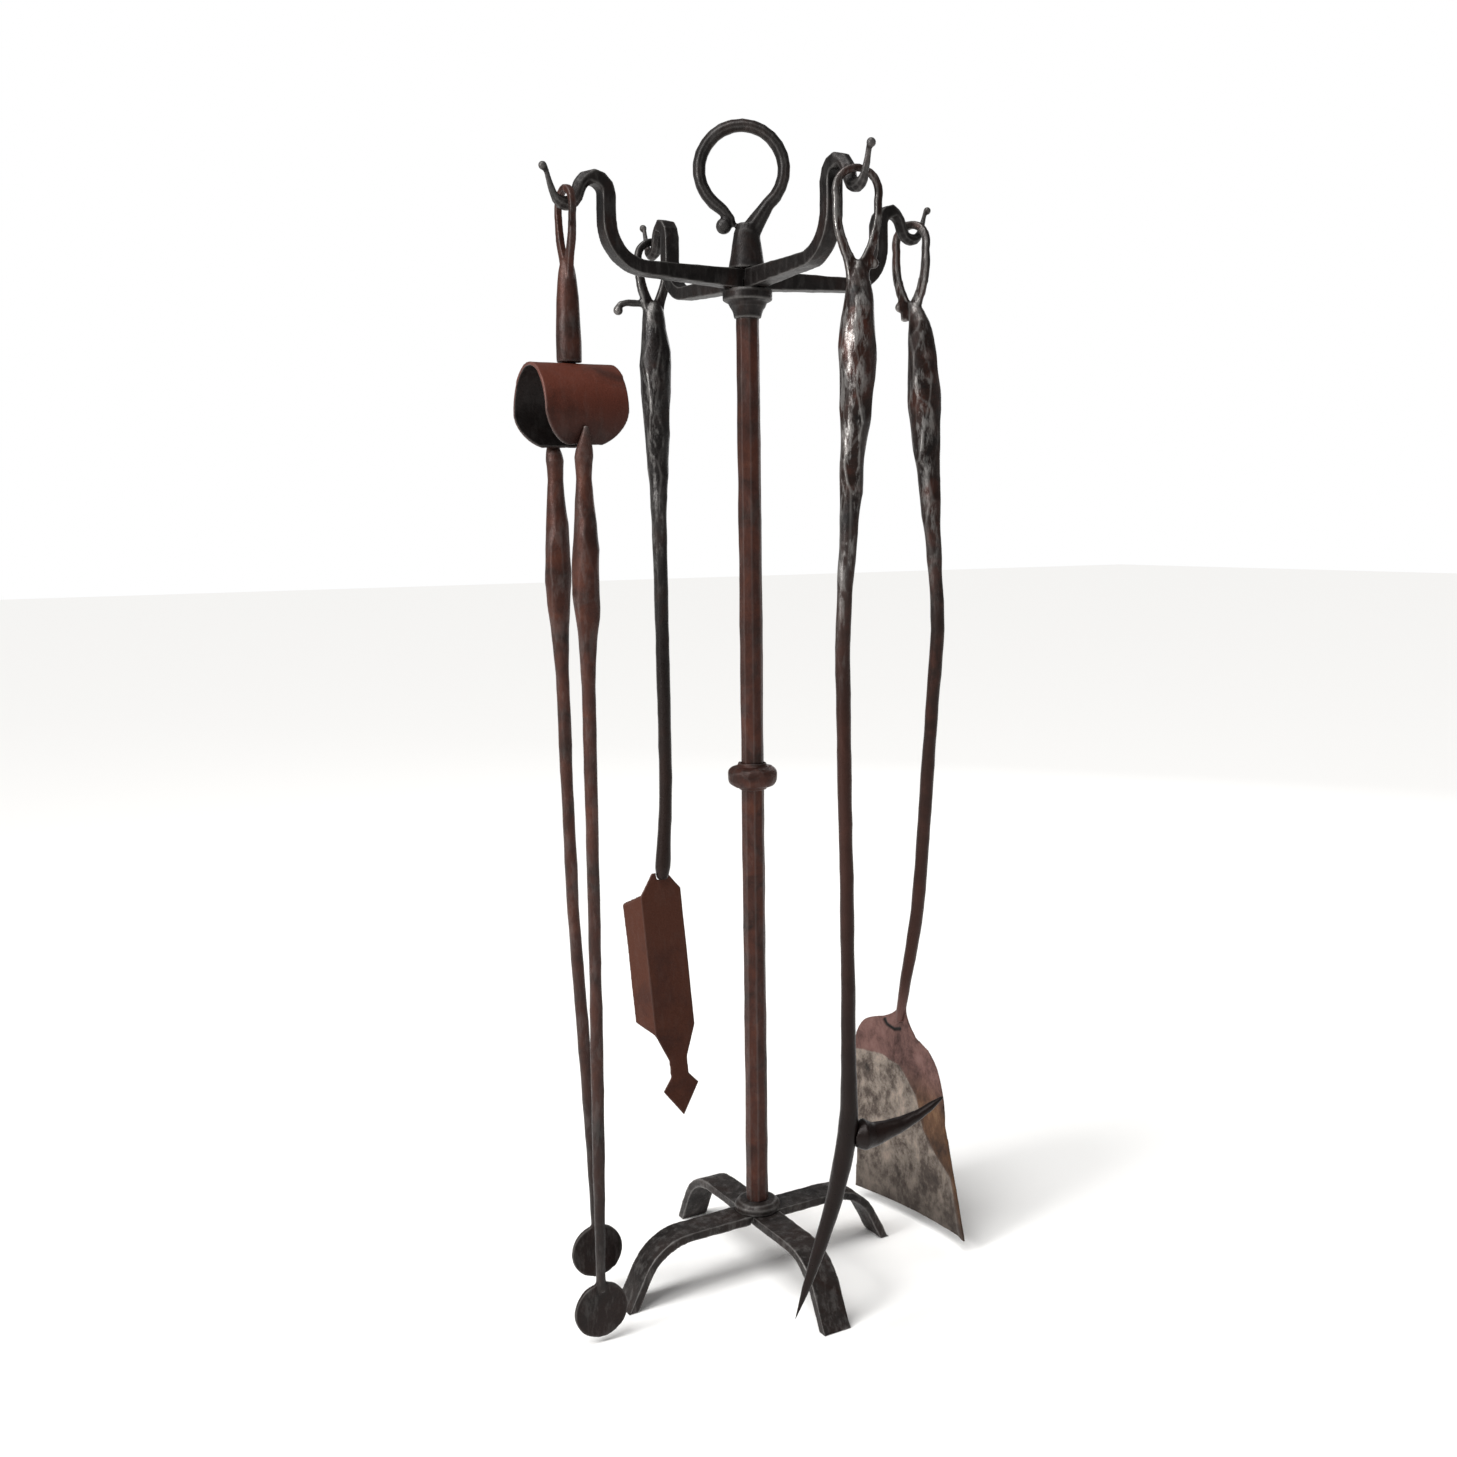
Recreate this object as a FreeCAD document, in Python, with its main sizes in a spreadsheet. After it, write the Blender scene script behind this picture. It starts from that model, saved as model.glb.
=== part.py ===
import FreeCAD, Part
import math
import os

import Sketcher

# A hand-forged fireplace tool set: a four-legged stand with a hook at the end of each
# of its four arms, and the tongs, poker, brush and shovel that hang from them.
# Frame: origin on the floor under the post, +Z up, one arm along each of +X, -X, +Y, -Y.
# Millimetres and degrees.

V = FreeCAD.Vector
DOC = FreeCAD.newDocument("FireplaceToolSet")
SHEET = DOC.addObject("Spreadsheet::Sheet", "Sizes")
TURN = 360.0

SIZES = [
    # stand: base
    ("base_height", 46.8),
    ("foot_reach_sides", 109.0),
    ("foot_reach_ends", 105.0),
    ("foot_bar_width", 22.0),
    ("foot_bar_thick", 7.0),
    ("foot_bend", 34.0),
    ("foot_slope", 63.0),
    ("foot_collar_width", 32.0),
    ("foot_collar_height", 6.6),
    # stand: post
    ("post_width", 15.6),
    ("tenon_width", 9.0),
    ("rivet_width", 15.0),
    ("rivet_height", 2.5),
    ("knop_width", 35.6),
    ("knop_height", 15.0),
    ("knop_middle", 363.0),
    ("top_collar_width", 32.0),
    ("top_collar_height", 18.0),
    # stand: spider of arms and hooks
    ("spider_height", 690.6),
    ("hub_height", 13.0),
    ("arm_width", 12.0),
    ("arm_thick", 9.5),
    ("arm_bend", 22.5),
    ("upright_top", 742.0),
    ("reach_left", 130.0),
    ("reach_right", 134.5),
    ("reach_front", 129.0),
    ("reach_back", 138.0),
    ("upright_setback", 28.0),
    ("hook_thick", 9.0),
    ("hook_radius", 8.0),
    ("hook_bottom", 729.4),
    ("tip_thick", 4.0),
    ("tip_height", 755.0),
    ("tip_lean", 16.0),
    ("tip_ball", 6.0),
    # carry ring
    ("boss_width", 25.6),
    ("boss_height", 8.0),
    ("neck_width", 17.6),
    ("ring_outer", 65.0),
    ("ring_bar", 9.0),
    ("ring_middle", 767.5),
    ("ring_shift", 3.0),
    ("carry_turn", -31.0),
    # eyes of the four tools
    ("eye_strand", 5.2),
    ("eye_thick", 5.0),
    ("eye_seat", 740.0),
    ("eye_crotch", 691.5),
    ("brush_eye_crotch", 701.0),
    ("tongs_eye_crotch", 701.0),
    ("curl_ball", 7.4),
    ("poker_eye_width", 32.5),
    ("shovel_eye_width", 31.0),
    ("brush_eye_width", 29.0),
    ("tongs_eye_width", 30.0),
    # how far each tool is turned about its own hook
    ("poker_turn", -14.0),
    ("shovel_turn", -70.0),
    ("brush_turn", 0.0),
    ("tongs_turn", -3.0),
    # grips and shafts
    ("poker_grip", 22.0),
    ("poker_shaft", 10.2),
    ("poker_tip_height", 28.0),
    ("poker_bend", -10.0),
    ("poker_kick", -44.0),
    ("fork_height", 150.0),
    ("prong_reach", 58.0),
    ("prong_rise", 18.0),
    ("prong_root", 20.0),
    ("shovel_grip", 22.4),
    ("shovel_shaft", 10.0),
    ("shovel_bow_out", 24.0),
    ("shovel_root_height", 158.0),
    ("blade_width", 123.0),
    ("blade_bottom", 9.2),
    ("blade_shoulder", 130.0),
    ("blade_thick", 2.0),
    ("blade_dish", 6.0),
    ("blade_turn", -83.0),
    ("brush_grip", 23.0),
    ("brush_shaft", 10.6),
    ("brush_root_height", 262.0),
    ("spine_width", 35.0),
    ("spine_top", 252.0),
    ("spine_bottom", 137.0),
    ("flange_depth", 19.7),
    ("flange_fold", 65.0),
    ("plate_thick", 1.8),
    ("plate_lean", 5.3),
    ("finial_width", 32.0),
    ("finial_tip", 65.0),
    # tongs
    ("bow_radius", 31.0),
    ("bow_thick", 2.5),
    ("bow_width", 55.0),
    ("bow_drop", 84.1),
    ("bow_gap", 48.0),
    ("lap_gap", 0.3),
    ("shank_width", 16.6),
    ("tongs_tenon", 7.0),
    ("tongs_rivet", 12.0),
    ("tongs_rivet_height", 2.0),
    ("tongs_grip", 16.8),
    ("tongs_shaft", 9.0),
    ("jaw_spread_top", 25.0),
    ("jaw_spread_front", 31.0),
    ("jaw_spread_back", 26.0),
    ("jaw_shift_front", -7.0),
    ("jaw_shift_back", 13.0),
    ("jaw_width", 38.0),
    ("jaw_thick", 4.0),
    ("jaw_height_front", 22.6),
    ("jaw_height_back", 34.0),
]


class Size:
    """A number together with the sheet expression that it comes from."""

    def __init__(self, value, text):
        self.value = value
        self.text = text

    def _with(self, other, sign, work, swap=False):
        other = as_size(other)
        first, second = (other, self) if swap else (self, other)
        return Size(work(first.value, second.value), f"({first.text} {sign} {second.text})")

    def __add__(self, other):
        return self._with(other, "+", lambda a, b: a + b)

    def __radd__(self, other):
        return self._with(other, "+", lambda a, b: a + b, swap=True)

    def __sub__(self, other):
        return self._with(other, "-", lambda a, b: a - b)

    def __rsub__(self, other):
        return self._with(other, "-", lambda a, b: a - b, swap=True)

    def __mul__(self, other):
        return self._with(other, "*", lambda a, b: a * b)

    def __rmul__(self, other):
        return self._with(other, "*", lambda a, b: a * b, swap=True)

    def __truediv__(self, other):
        return self._with(other, "/", lambda a, b: a / b)

    def __neg__(self):
        return Size(-self.value, f"(0 - {self.text})")


def as_size(number):
    """A plain number as a Size."""
    if isinstance(number, Size):
        return number
    return Size(float(number), f"({float(number)})")


def sine(angle):
    """The sine of an angle in degrees."""
    angle = as_size(angle)
    return Size(math.sin(math.radians(angle.value)), f"sin({angle.text})")


def cosine(angle):
    """The cosine of an angle in degrees."""
    angle = as_size(angle)
    return Size(math.cos(math.radians(angle.value)), f"cos({angle.text})")


def fill_sheet():
    """Write the driving sizes into the sheet and return them by name."""
    sizes = {}
    for row, (name, value) in enumerate(SIZES, start=1):
        SHEET.set(f"A{row}", name)
        SHEET.set(f"B{row}", str(value))
        SHEET.setAlias(f"B{row}", name)
        sizes[name] = Size(value, f"Sizes.{name}")
    DOC.recompute()
    return sizes


D = fill_sheet()


def new_body(name):
    """An empty PartDesign body."""
    body = DOC.addObject("PartDesign::Body", name)
    body.Label = name
    return body


def origin_plane(body, role):
    """The body's own XY_Plane, XZ_Plane or YZ_Plane."""
    for feature in body.Origin.OriginFeatures:
        if feature.Role == role:
            return feature
    raise ValueError(role)


def bind(target, prop, size):
    """Tie a property to the sheet."""
    target.setExpression(prop, as_size(size).text)


def new_sketch(body, name, role, shift=(0, 0, 0)):
    """A sketch on one of the body's planes, moved by shift along the plane's own axes."""
    sketch = body.newObject("Sketcher::SketchObject", name)
    sketch.AttachmentSupport = [(origin_plane(body, role), "")]
    sketch.MapMode = "FlatFace"
    for axis, amount in zip("xyz", shift):
        if isinstance(amount, Size) or amount:
            bind(sketch, f"AttachmentOffset.Base.{axis}", amount)
    return sketch


def draw_circle(sketch, diameter):
    """One circle on the sketch's origin."""
    diameter = as_size(diameter)
    sketch.addGeometry(Part.Circle(V(0, 0, 0), V(0, 0, 1), diameter.value / 2), False)
    sketch.addConstraint(Sketcher.Constraint("Coincident", 0, 3, -1, 1))
    number = sketch.addConstraint(Sketcher.Constraint("Diameter", 0, diameter.value))
    bind(sketch, f"Constraints[{number}]", diameter)


def arc_between(start, end, radius):
    """The short arc from start to end; a positive radius turns left. Tells if it is reversed."""
    chord = end - start
    half = chord.Length / 2
    left = V(-chord.y, chord.x, 0).normalize()
    rise = math.sqrt(max(radius * radius - half * half, 0.0))
    centre = (start + end) * 0.5 + left * (rise if radius > 0 else -rise)
    first = math.atan2(start.y - centre.y, start.x - centre.x)
    last = math.atan2(end.y - centre.y, end.x - centre.x)
    if radius < 0:
        first, last = last, first
    if last < first:
        last += 2 * math.pi
    circle = Part.Circle(centre, V(0, 0, 1), abs(radius))
    return Part.ArcOfCircle(circle, first, last), radius < 0


def draw_outline(sketch, corners):
    """A closed outline. A corner is (u, v), or (u, v, radius) if the side after it is an arc."""
    spots = [(as_size(corner[0]), as_size(corner[1])) for corner in corners]
    points = [V(u.value, v.value, 0) for u, v in spots]
    ends = []
    for index, corner in enumerate(corners):
        start = points[index]
        end = points[(index + 1) % len(points)]
        if len(corner) == 3:
            radius = as_size(corner[2])
            arc, is_reversed = arc_between(start, end, radius.value)
            side = sketch.addGeometry(arc, False)
            number = sketch.addConstraint(Sketcher.Constraint("Radius", side, abs(radius.value)))
            bind(sketch, f"Constraints[{number}]", radius if radius.value > 0 else -radius)
            ends.append((side, 2, 1) if is_reversed else (side, 1, 2))
        else:
            side = sketch.addGeometry(Part.LineSegment(start, end), False)
            ends.append((side, 1, 2))
    for index, (side, _, last) in enumerate(ends):
        following, first, _ = ends[(index + 1) % len(ends)]
        sketch.addConstraint(Sketcher.Constraint("Coincident", side, last, following, first))
    for (side, first, _), (u, v) in zip(ends, spots):
        for kind, size in (("DistanceX", u), ("DistanceY", v)):
            constraint = Sketcher.Constraint(kind, -1, 1, side, first, size.value)
            bind(sketch, f"Constraints[{sketch.addConstraint(constraint)}]", size)


def pad(body, name, sketch, length, symmetric=False, is_reversed=False):
    """Extrude a sketch."""
    feature = body.newObject("PartDesign::Pad", name)
    feature.Profile = sketch
    bind(feature, "Length", length)
    feature.SideType = "Symmetric" if symmetric else "One side"
    feature.Reversed = is_reversed
    return feature


def pocket(body, name, sketch, length, is_reversed=False, symmetric=False):
    """Cut a sketch away, and insist that something was cut."""
    DOC.recompute()
    before = body.Shape.Volume
    feature = body.newObject("PartDesign::Pocket", name)
    feature.Profile = sketch
    bind(feature, "Length", length)
    feature.SideType = "Symmetric" if symmetric else "One side"
    feature.Reversed = is_reversed
    DOC.recompute()
    if body.Shape.Volume > before - 1e-3:
        raise ValueError(f"{name} cuts nothing")
    return feature


def turned(body, name, corners):
    """A full revolution about Z of an outline in the XZ plane."""
    sketch = new_sketch(body, f"{name}_profile", "XZ_Plane")
    draw_outline(sketch, corners)
    feature = body.newObject("PartDesign::Revolution", name)
    feature.Profile = sketch
    feature.ReferenceAxis = (sketch, ["V_Axis"])
    feature.Angle = TURN
    return feature


def smoothed(stations):
    """The stations with one more between each pair, on a smooth curve through its neighbours."""
    full = [tuple(as_size(part) for part in station) for station in stations]
    finer = []
    for index in range(len(full) - 1):
        near, far = full[index], full[index + 1]
        before = full[max(index - 1, 0)]
        after = full[min(index + 2, len(full) - 1)]
        finer.append(near)
        finer.append(
            tuple((b + c) * 0.5625 - (a + d) * 0.0625 for a, b, c, d in zip(before, near, far, after))
        )
    finer.append(full[-1])
    return finer


def lofted_shaft(body, name, stations):
    """A tapering round bar through stations (x, y, height, diameter), smoothly bent."""
    sections = []
    for number, (x, y, height, diameter) in enumerate(smoothed(stations)):
        sketch = new_sketch(body, f"{name}_{number}", "XY_Plane", (x, y, height))
        draw_circle(sketch, diameter)
        sections.append(sketch)
    feature = body.newObject("PartDesign::AdditiveLoft", name)
    feature.Profile = sections[0]
    feature.Sections = sections[1:]
    feature.Ruled = True
    return feature


def add_ball(body, name, x, y, height, diameter):
    """The little ball that ends a curl."""
    ball = body.newObject("PartDesign::AdditiveSphere", name)
    bind(ball, "Radius", as_size(diameter) / 2)
    for axis, amount in zip("xyz", (x, y, height)):
        bind(ball, f"AttachmentOffset.Base.{axis}", amount)
    ball.AttachmentSupport = [(origin_plane(body, "XY_Plane"), "")]
    ball.MapMode = "FlatFace"
    return ball


def place(thing, x, y, turn=0.0):
    """Stand a tool at (x, y), turned about its own upright line."""
    bind(thing, "Placement.Base.x", x)
    bind(thing, "Placement.Base.y", y)
    thing.Placement = FreeCAD.Placement(V(0, 0, 0), FreeCAD.Rotation(V(0, 0, 1), as_size(turn).value))
    bind(thing, "Placement.Rotation.Angle", turn)


def octagon(middle, ahead, side, width, depth, corner):
    """A closed wire of eight sides, width along side, its corners cut back by corner (0 to 1)."""
    flat = 1 - corner
    ahead = V(ahead).normalize()
    across = side.cross(ahead).normalize()
    points = []
    quarter = ((1, flat), (flat, 1))
    half = quarter + tuple((-b, a) for a, b in quarter)
    for a, b in half + tuple((-a, -b) for a, b in half):
        points.append(middle + side * (a * width / 2) + across * (b * depth / 2))
    return Part.makePolygon(points + points[:1])


def forged_bar(stations, side, square=0):
    """A tapering bar along (point, width, depth) in the plane square to side.

    The first few sections, as many as square says, keep the sharper corners of flat bar.
    """
    wires = []
    for number, (point, width, depth) in enumerate(stations):
        before = stations[max(number - 1, 0)][0]
        after = stations[min(number + 1, len(stations) - 1)][0]
        corner = 0.15 if number < square else 0.65
        wires.append(octagon(point, after - before, side, width, depth, corner))
    return Part.makeLoft(wires, True, True)


# ---------------------------------------------------------------- stand


def foot_half(reach):
    """Corners of half of an arched foot bar, from the top at the middle round to the underside."""
    outer = D["foot_bend"] + D["foot_bar_thick"]
    low = D["base_height"] - outer
    slope_sine = sine(D["foot_slope"])
    slope_cosine = cosine(D["foot_slope"])
    spread = slope_cosine / slope_sine
    flat = reach - outer * slope_sine - (low + outer * slope_cosine) * spread
    outer_end = (flat + outer * slope_sine, low + outer * slope_cosine)
    inner_end = (flat + D["foot_bend"] * slope_sine, low + D["foot_bend"] * slope_cosine)
    inner_toe = inner_end[0] + inner_end[1] * spread
    return [
        (flat, D["base_height"], -outer),
        outer_end,
        (reach, as_size(0)),
        (inner_toe, as_size(0)),
        (inner_end[0], inner_end[1], D["foot_bend"]),
        (flat, D["base_height"] - D["foot_bar_thick"]),
    ]


def mirrored(half):
    """The same corners on the other side, in the order that closes the outline."""
    turned_round = []
    for index in range(len(half) - 1, -1, -1):
        corner = half[index]
        before = half[index - 1] if index else ()
        arc = (before[2],) if len(before) == 3 else ()
        turned_round.append((-corner[0], corner[1]) + arc)
    return turned_round


def make_foot_bar(name, role, reach, lap_from_top):
    """One arched bar that makes two opposite legs, half lapped into the other at the middle."""
    body = new_body(name)
    half = foot_half(reach)
    sketch = new_sketch(body, f"{name}_arch", role)
    draw_outline(sketch, half + mirrored(half))
    pad(body, f"{name}_bar", sketch, D["foot_bar_width"], symmetric=True)
    width = D["foot_bar_width"] / 2
    middle = D["base_height"] - D["foot_bar_thick"] / 2
    lap = new_sketch(body, f"{name}_lap", "XY_Plane", (0, 0, middle))
    draw_outline(lap, [(-width, -width), (width, -width), (width, width), (-width, width)])
    pocket(body, f"{name}_half_lap", lap, D["foot_bar_thick"], is_reversed=lap_from_top)
    hole = new_sketch(body, f"{name}_hole", "XY_Plane", (0, 0, D["base_height"]))
    draw_circle(hole, D["tenon_width"])
    pocket(body, f"{name}_tenon_hole", hole, D["foot_bar_thick"] + 1)
    return body


def make_foot_collar():
    """The forged washer between the post and the crossed bars."""
    body = new_body("foot_collar")
    rim = D["foot_collar_width"] / 2
    low = D["base_height"]
    high = low + D["foot_collar_height"]
    turned(
        body,
        "foot_collar_ring",
        [
            (D["tenon_width"] / 2, low),
            (rim, low),
            (rim, low + D["foot_collar_height"] * 0.6),
            (rim - D["foot_collar_height"] * 0.4, high),
            (D["tenon_width"] / 2, high),
        ],
    )
    return body


def octagon_corners(across):
    """Corners of a regular octagon by its width across the flats."""
    half = as_size(across) / 2
    short = half * (math.sqrt(2) - 1)
    return [
        (half, short),
        (short, half),
        (-short, half),
        (-half, short),
        (-half, -short),
        (-short, -half),
        (short, -half),
        (half, -short),
    ]


def post_bottom():
    """Height of the foot collar's top, where the post stands."""
    return D["base_height"] + D["foot_collar_height"]


def post_top():
    """Height of the top collar's underside, where the post ends."""
    return D["spider_height"] - D["top_collar_height"]


def make_post():
    """The eight-sided post, with a round tenon at each end and a riveted head under the base."""
    body = new_body("post")
    sketch = new_sketch(body, "post_section", "XY_Plane", (0, 0, post_bottom()))
    draw_outline(sketch, octagon_corners(D["post_width"]))
    pad(body, "post_bar", sketch, post_top() - post_bottom())
    under = D["base_height"] - D["foot_bar_thick"]
    lower = new_sketch(body, "post_lower_tenon", "XY_Plane", (0, 0, under - 0.5))
    draw_circle(lower, D["tenon_width"])
    pad(body, "post_lower_pin", lower, post_bottom() - under + 1)
    head = new_sketch(body, "post_rivet_head", "XY_Plane", (0, 0, under))
    draw_circle(head, D["rivet_width"])
    pad(body, "post_rivet", head, D["rivet_height"], is_reversed=True)
    upper = new_sketch(body, "post_upper_tenon", "XY_Plane", (0, 0, post_top() - 0.5))
    draw_circle(upper, D["tenon_width"])
    pin = D["top_collar_height"] + D["hub_height"] + D["boss_height"] / 2 + 0.5
    pad(body, "post_upper_pin", upper, pin)
    return body


def make_knop():
    """The ring shrunk onto the middle of the post, with a small bead above and below it."""
    body = new_body("knop")
    rim = D["knop_width"] / 2
    round_over = D["knop_height"] * 0.4
    low = D["knop_middle"] - D["knop_height"] / 2
    high = D["knop_middle"] + D["knop_height"] / 2
    core = D["post_width"] / 4
    neck = D["post_width"] / 2 + 2
    bead = 2.5
    turned(
        body,
        "knop_ring",
        [
            (core, low - bead),
            (neck, low - bead),
            (neck + 1, low),
            (rim - round_over, low, round_over),
            (rim, low + round_over),
            (rim, high - round_over, round_over),
            (rim - round_over, high),
            (neck + 1, high),
            (neck, high + bead),
            (core, high + bead),
        ],
    )
    bore = new_sketch(body, "knop_bore", "XY_Plane", (0, 0, high + bead))
    draw_outline(bore, octagon_corners(D["post_width"]))
    pocket(body, "knop_hole", bore, D["knop_height"] + bead * 2)
    return body


def make_top_collar():
    """The stepped collar that the spider of arms rests on."""
    body = new_body("top_collar")
    rim = D["top_collar_width"] / 2
    low = post_top()
    cove = low + D["top_collar_height"] * 0.4
    step = low + D["top_collar_height"] * 0.55
    lip = D["post_width"] / 2 + 0.6
    turned(
        body,
        "top_collar_ring",
        [
            (D["tenon_width"] / 2, low),
            (lip, low),
            (lip + 0.4, low + 2, -12.0),
            (rim - 4.6, cove),
            (rim - 3.4, step),
            (rim, step + 1.5),
            (rim, D["spider_height"] - 1),
            (rim - 1, D["spider_height"]),
            (D["tenon_width"] / 2, D["spider_height"]),
        ],
    )
    return body


def arm_half(reach):
    """Corners of one arm from the hub's underside, round the upright and back to the hub's top."""
    top = D["spider_height"] + D["hub_height"]
    outer_face = reach - D["upright_setback"] + D["arm_thick"] / 2
    inner_face = outer_face - D["arm_thick"]
    centre = inner_face - D["arm_bend"]
    return [
        (D["boss_width"] / 2, D["spider_height"]),
        (centre, top - D["arm_thick"], D["arm_bend"] + D["arm_thick"]),
        (outer_face, top + D["arm_bend"]),
        (outer_face, D["upright_top"]),
        (inner_face, D["upright_top"]),
        (inner_face, top + D["arm_bend"], -D["arm_bend"]),
        (centre, top),
    ]


def hook_shape(reach):
    """The crest, round hook, thin tip and ball drawn out of the end of an arm, along +X."""
    reach = reach.value
    upright = reach - D["upright_setback"].value
    crest = D["upright_setback"].value / 3
    top = D["upright_top"].value
    radius = D["hook_radius"].value
    thick = D["hook_thick"].value
    tip = D["tip_thick"].value
    wide = D["arm_width"].value
    deep = D["arm_thick"].value
    middle = D["hook_bottom"].value + thick / 2 + radius
    lean = math.tan(math.radians(D["tip_lean"].value))
    crest_angles = (
        (180, wide, deep),
        (150, wide, deep),
        (120, wide, deep),
        (90, 11.6, 9.5),
        (58, 10.8, 9.4),
        (25, 10, 9.0),
    )
    hook_angles = (
        (205, 9.4, 9.0),
        (228, thick, thick),
        (249, thick, thick),
        (270, thick, thick),
        (294, 8.4, 8.2),
        (318, 7.2, 6.8),
        (340, 5.6, 5.2),
    )
    stations = [(V(upright, 0, top - 4), wide, deep)]
    for angle, width, depth in crest_angles:
        turn = math.radians(angle)
        point = V(upright + crest + crest * math.cos(turn), 0, top + crest * math.sin(turn))
        stations.append((point, width, depth))
    for angle, width, depth in hook_angles:
        turn = math.radians(angle)
        point = V(reach + radius * math.cos(turn), 0, middle + radius * math.sin(turn))
        stations.append((point, width, depth))
    foot = stations[-1][0]
    for height, width in ((0.3, tip * 1.15), (0.6, tip), (1.0, tip * 0.9)):
        rise = (D["tip_height"].value - foot.z) * height
        stations.append((foot + V(rise * lean + 0.6, 0, rise), width, width))
    bar = forged_bar(stations, V(0, 1, 0), 5)
    end = stations[-1][0]
    ball = Part.makeSphere(D["tip_ball"].value / 2, end + V(D["tip_ball"].value * 0.25, 0, 0))
    return bar.fuse(ball)


def make_spider_bar(name, role, reaches, heading, lap_from_top):
    """One bar that makes two opposite arms and their hooks, half lapped into the other."""
    bar = new_body(f"{name}_bar")
    sketch = new_sketch(bar, f"{name}_profile", role)
    near = arm_half(reaches[0])
    far = mirrored(arm_half(reaches[1]))
    draw_outline(sketch, near + far)
    pad(bar, f"{name}_pad", sketch, D["arm_width"], symmetric=True)
    width = D["arm_width"] / 2
    middle = D["spider_height"] + D["hub_height"] / 2
    lap = new_sketch(bar, f"{name}_lap", "XY_Plane", (0, 0, middle))
    draw_outline(lap, [(-width, -width), (width, -width), (width, width), (-width, width)])
    pocket(bar, f"{name}_half_lap", lap, D["hub_height"], is_reversed=lap_from_top)
    hole = new_sketch(bar, f"{name}_hole", "XY_Plane", (0, 0, D["spider_height"] + D["hub_height"]))
    draw_circle(hole, D["tenon_width"])
    pocket(bar, f"{name}_tenon_hole", hole, D["hub_height"] + 1)
    hooks = []
    for number, reach in enumerate(reaches):
        hook = DOC.addObject("Part::Feature", f"{name}_hook_{number}")
        hook.Shape = hook_shape(reach)
        hook.Placement = FreeCAD.Placement(V(0, 0, 0), FreeCAD.Rotation(V(0, 0, 1), heading + 180 * number))
        hooks.append(hook)
    node = DOC.addObject("Part::MultiFuse", name)
    node.Shapes = [bar] + hooks
    node.Label = name
    return node


def make_carry_ring():
    """The boss and neck on top of the hub, drawn out and bent round into the ring to lift by."""
    body = new_body("carry_boss")
    low = D["spider_height"] + D["hub_height"]
    boss = D["boss_width"] / 2
    neck = D["neck_width"] / 2
    inside = D["tenon_width"] / 2
    pin = low + D["boss_height"] / 2
    shoulder = low + D["boss_height"]
    waist = low + D["boss_height"] * 3
    turned(
        body,
        "carry_boss_turned",
        [
            (inside, low),
            (boss, low),
            (boss - 1.5, shoulder),
            (neck, waist),
            (neck * 0.7, waist + 6),
            (0, waist + 6),
            (0, pin),
            (inside, pin),
        ],
    )
    radius = (D["ring_outer"].value - D["ring_bar"].value) / 2
    bar = D["ring_bar"].value
    middle = V(-D["ring_shift"].value, 0, D["ring_middle"].value)
    neck_top = waist.value
    stations = [(V(1.0, 0, neck_top - 10), 15, 15), (V(3.0, 0, neck_top + 1), 14, 14)]
    for angle in range(-52, 232, 14):
        turn = math.radians(angle)
        stations.append((middle + V(radius * math.cos(turn), 0, radius * math.sin(turn)), bar, bar))
    stations.append((V(-15.5, 0, neck_top + 14), bar * 0.9, bar * 0.9))
    stations.append((V(-10.8, 0, neck_top + 8.5), bar * 0.8, bar * 0.8))
    stations.append((V(-10.0, 0, neck_top + 3.5), bar * 0.7, bar * 0.7))
    ring = forged_bar(stations, V(0, 1, 0))
    ball = Part.makeSphere(bar * 0.62, V(-15.2, 0, neck_top + 4.2))
    loop = DOC.addObject("Part::Feature", "carry_loop")
    loop.Shape = ring.fuse(ball)
    turn = FreeCAD.Rotation(V(0, 0, 1), D["carry_turn"].value)
    loop.Placement = FreeCAD.Placement(V(0, 0, 0), turn)
    node = DOC.addObject("Part::MultiFuse", "carry_ring")
    node.Shapes = [body, loop]
    node.Label = "carry_ring"
    return node


# ---------------------------------------------------------------- tools


def draw_eye(body, name, role, width, crotch, shoulder, raised=0.0):
    """The flat teardrop eye that a tool hangs by: a round top, two strands and a crotch."""
    outer = as_size(width) / 2
    inner = outer - D["eye_strand"]
    middle = D["eye_seat"] + raised - inner
    below = sine(18)
    beside = cosine(18)
    neck = as_size(shoulder) / 2
    belly = as_size(crotch) + 5
    ring = new_sketch(body, f"{name}_eye_outside", role)
    draw_outline(
        ring,
        [
            (outer * beside, middle - outer * below, outer),
            (as_size(0), middle + outer, outer),
            (-(outer * beside), middle - outer * below, 60.0),
            (-neck - 4, belly, -45.0),
            (-neck, belly - 18),
            (neck, belly - 18, -45.0),
            (neck + 4, belly, 60.0),
        ],
    )
    pad(body, f"{name}_eye", ring, D["eye_thick"], symmetric=True)
    hole = new_sketch(body, f"{name}_eye_inside", role)
    draw_outline(
        hole,
        [
            (inner * beside, middle - inner * below, inner),
            (as_size(0), middle + inner, inner),
            (-(inner * beside), middle - inner * below, 60.0),
            (as_size(-1.2), as_size(crotch)),
            (as_size(1.2), as_size(crotch), 60.0),
        ],
    )
    pocket(body, f"{name}_eye_hole", hole, D["eye_thick"] + 1, symmetric=True)


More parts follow.
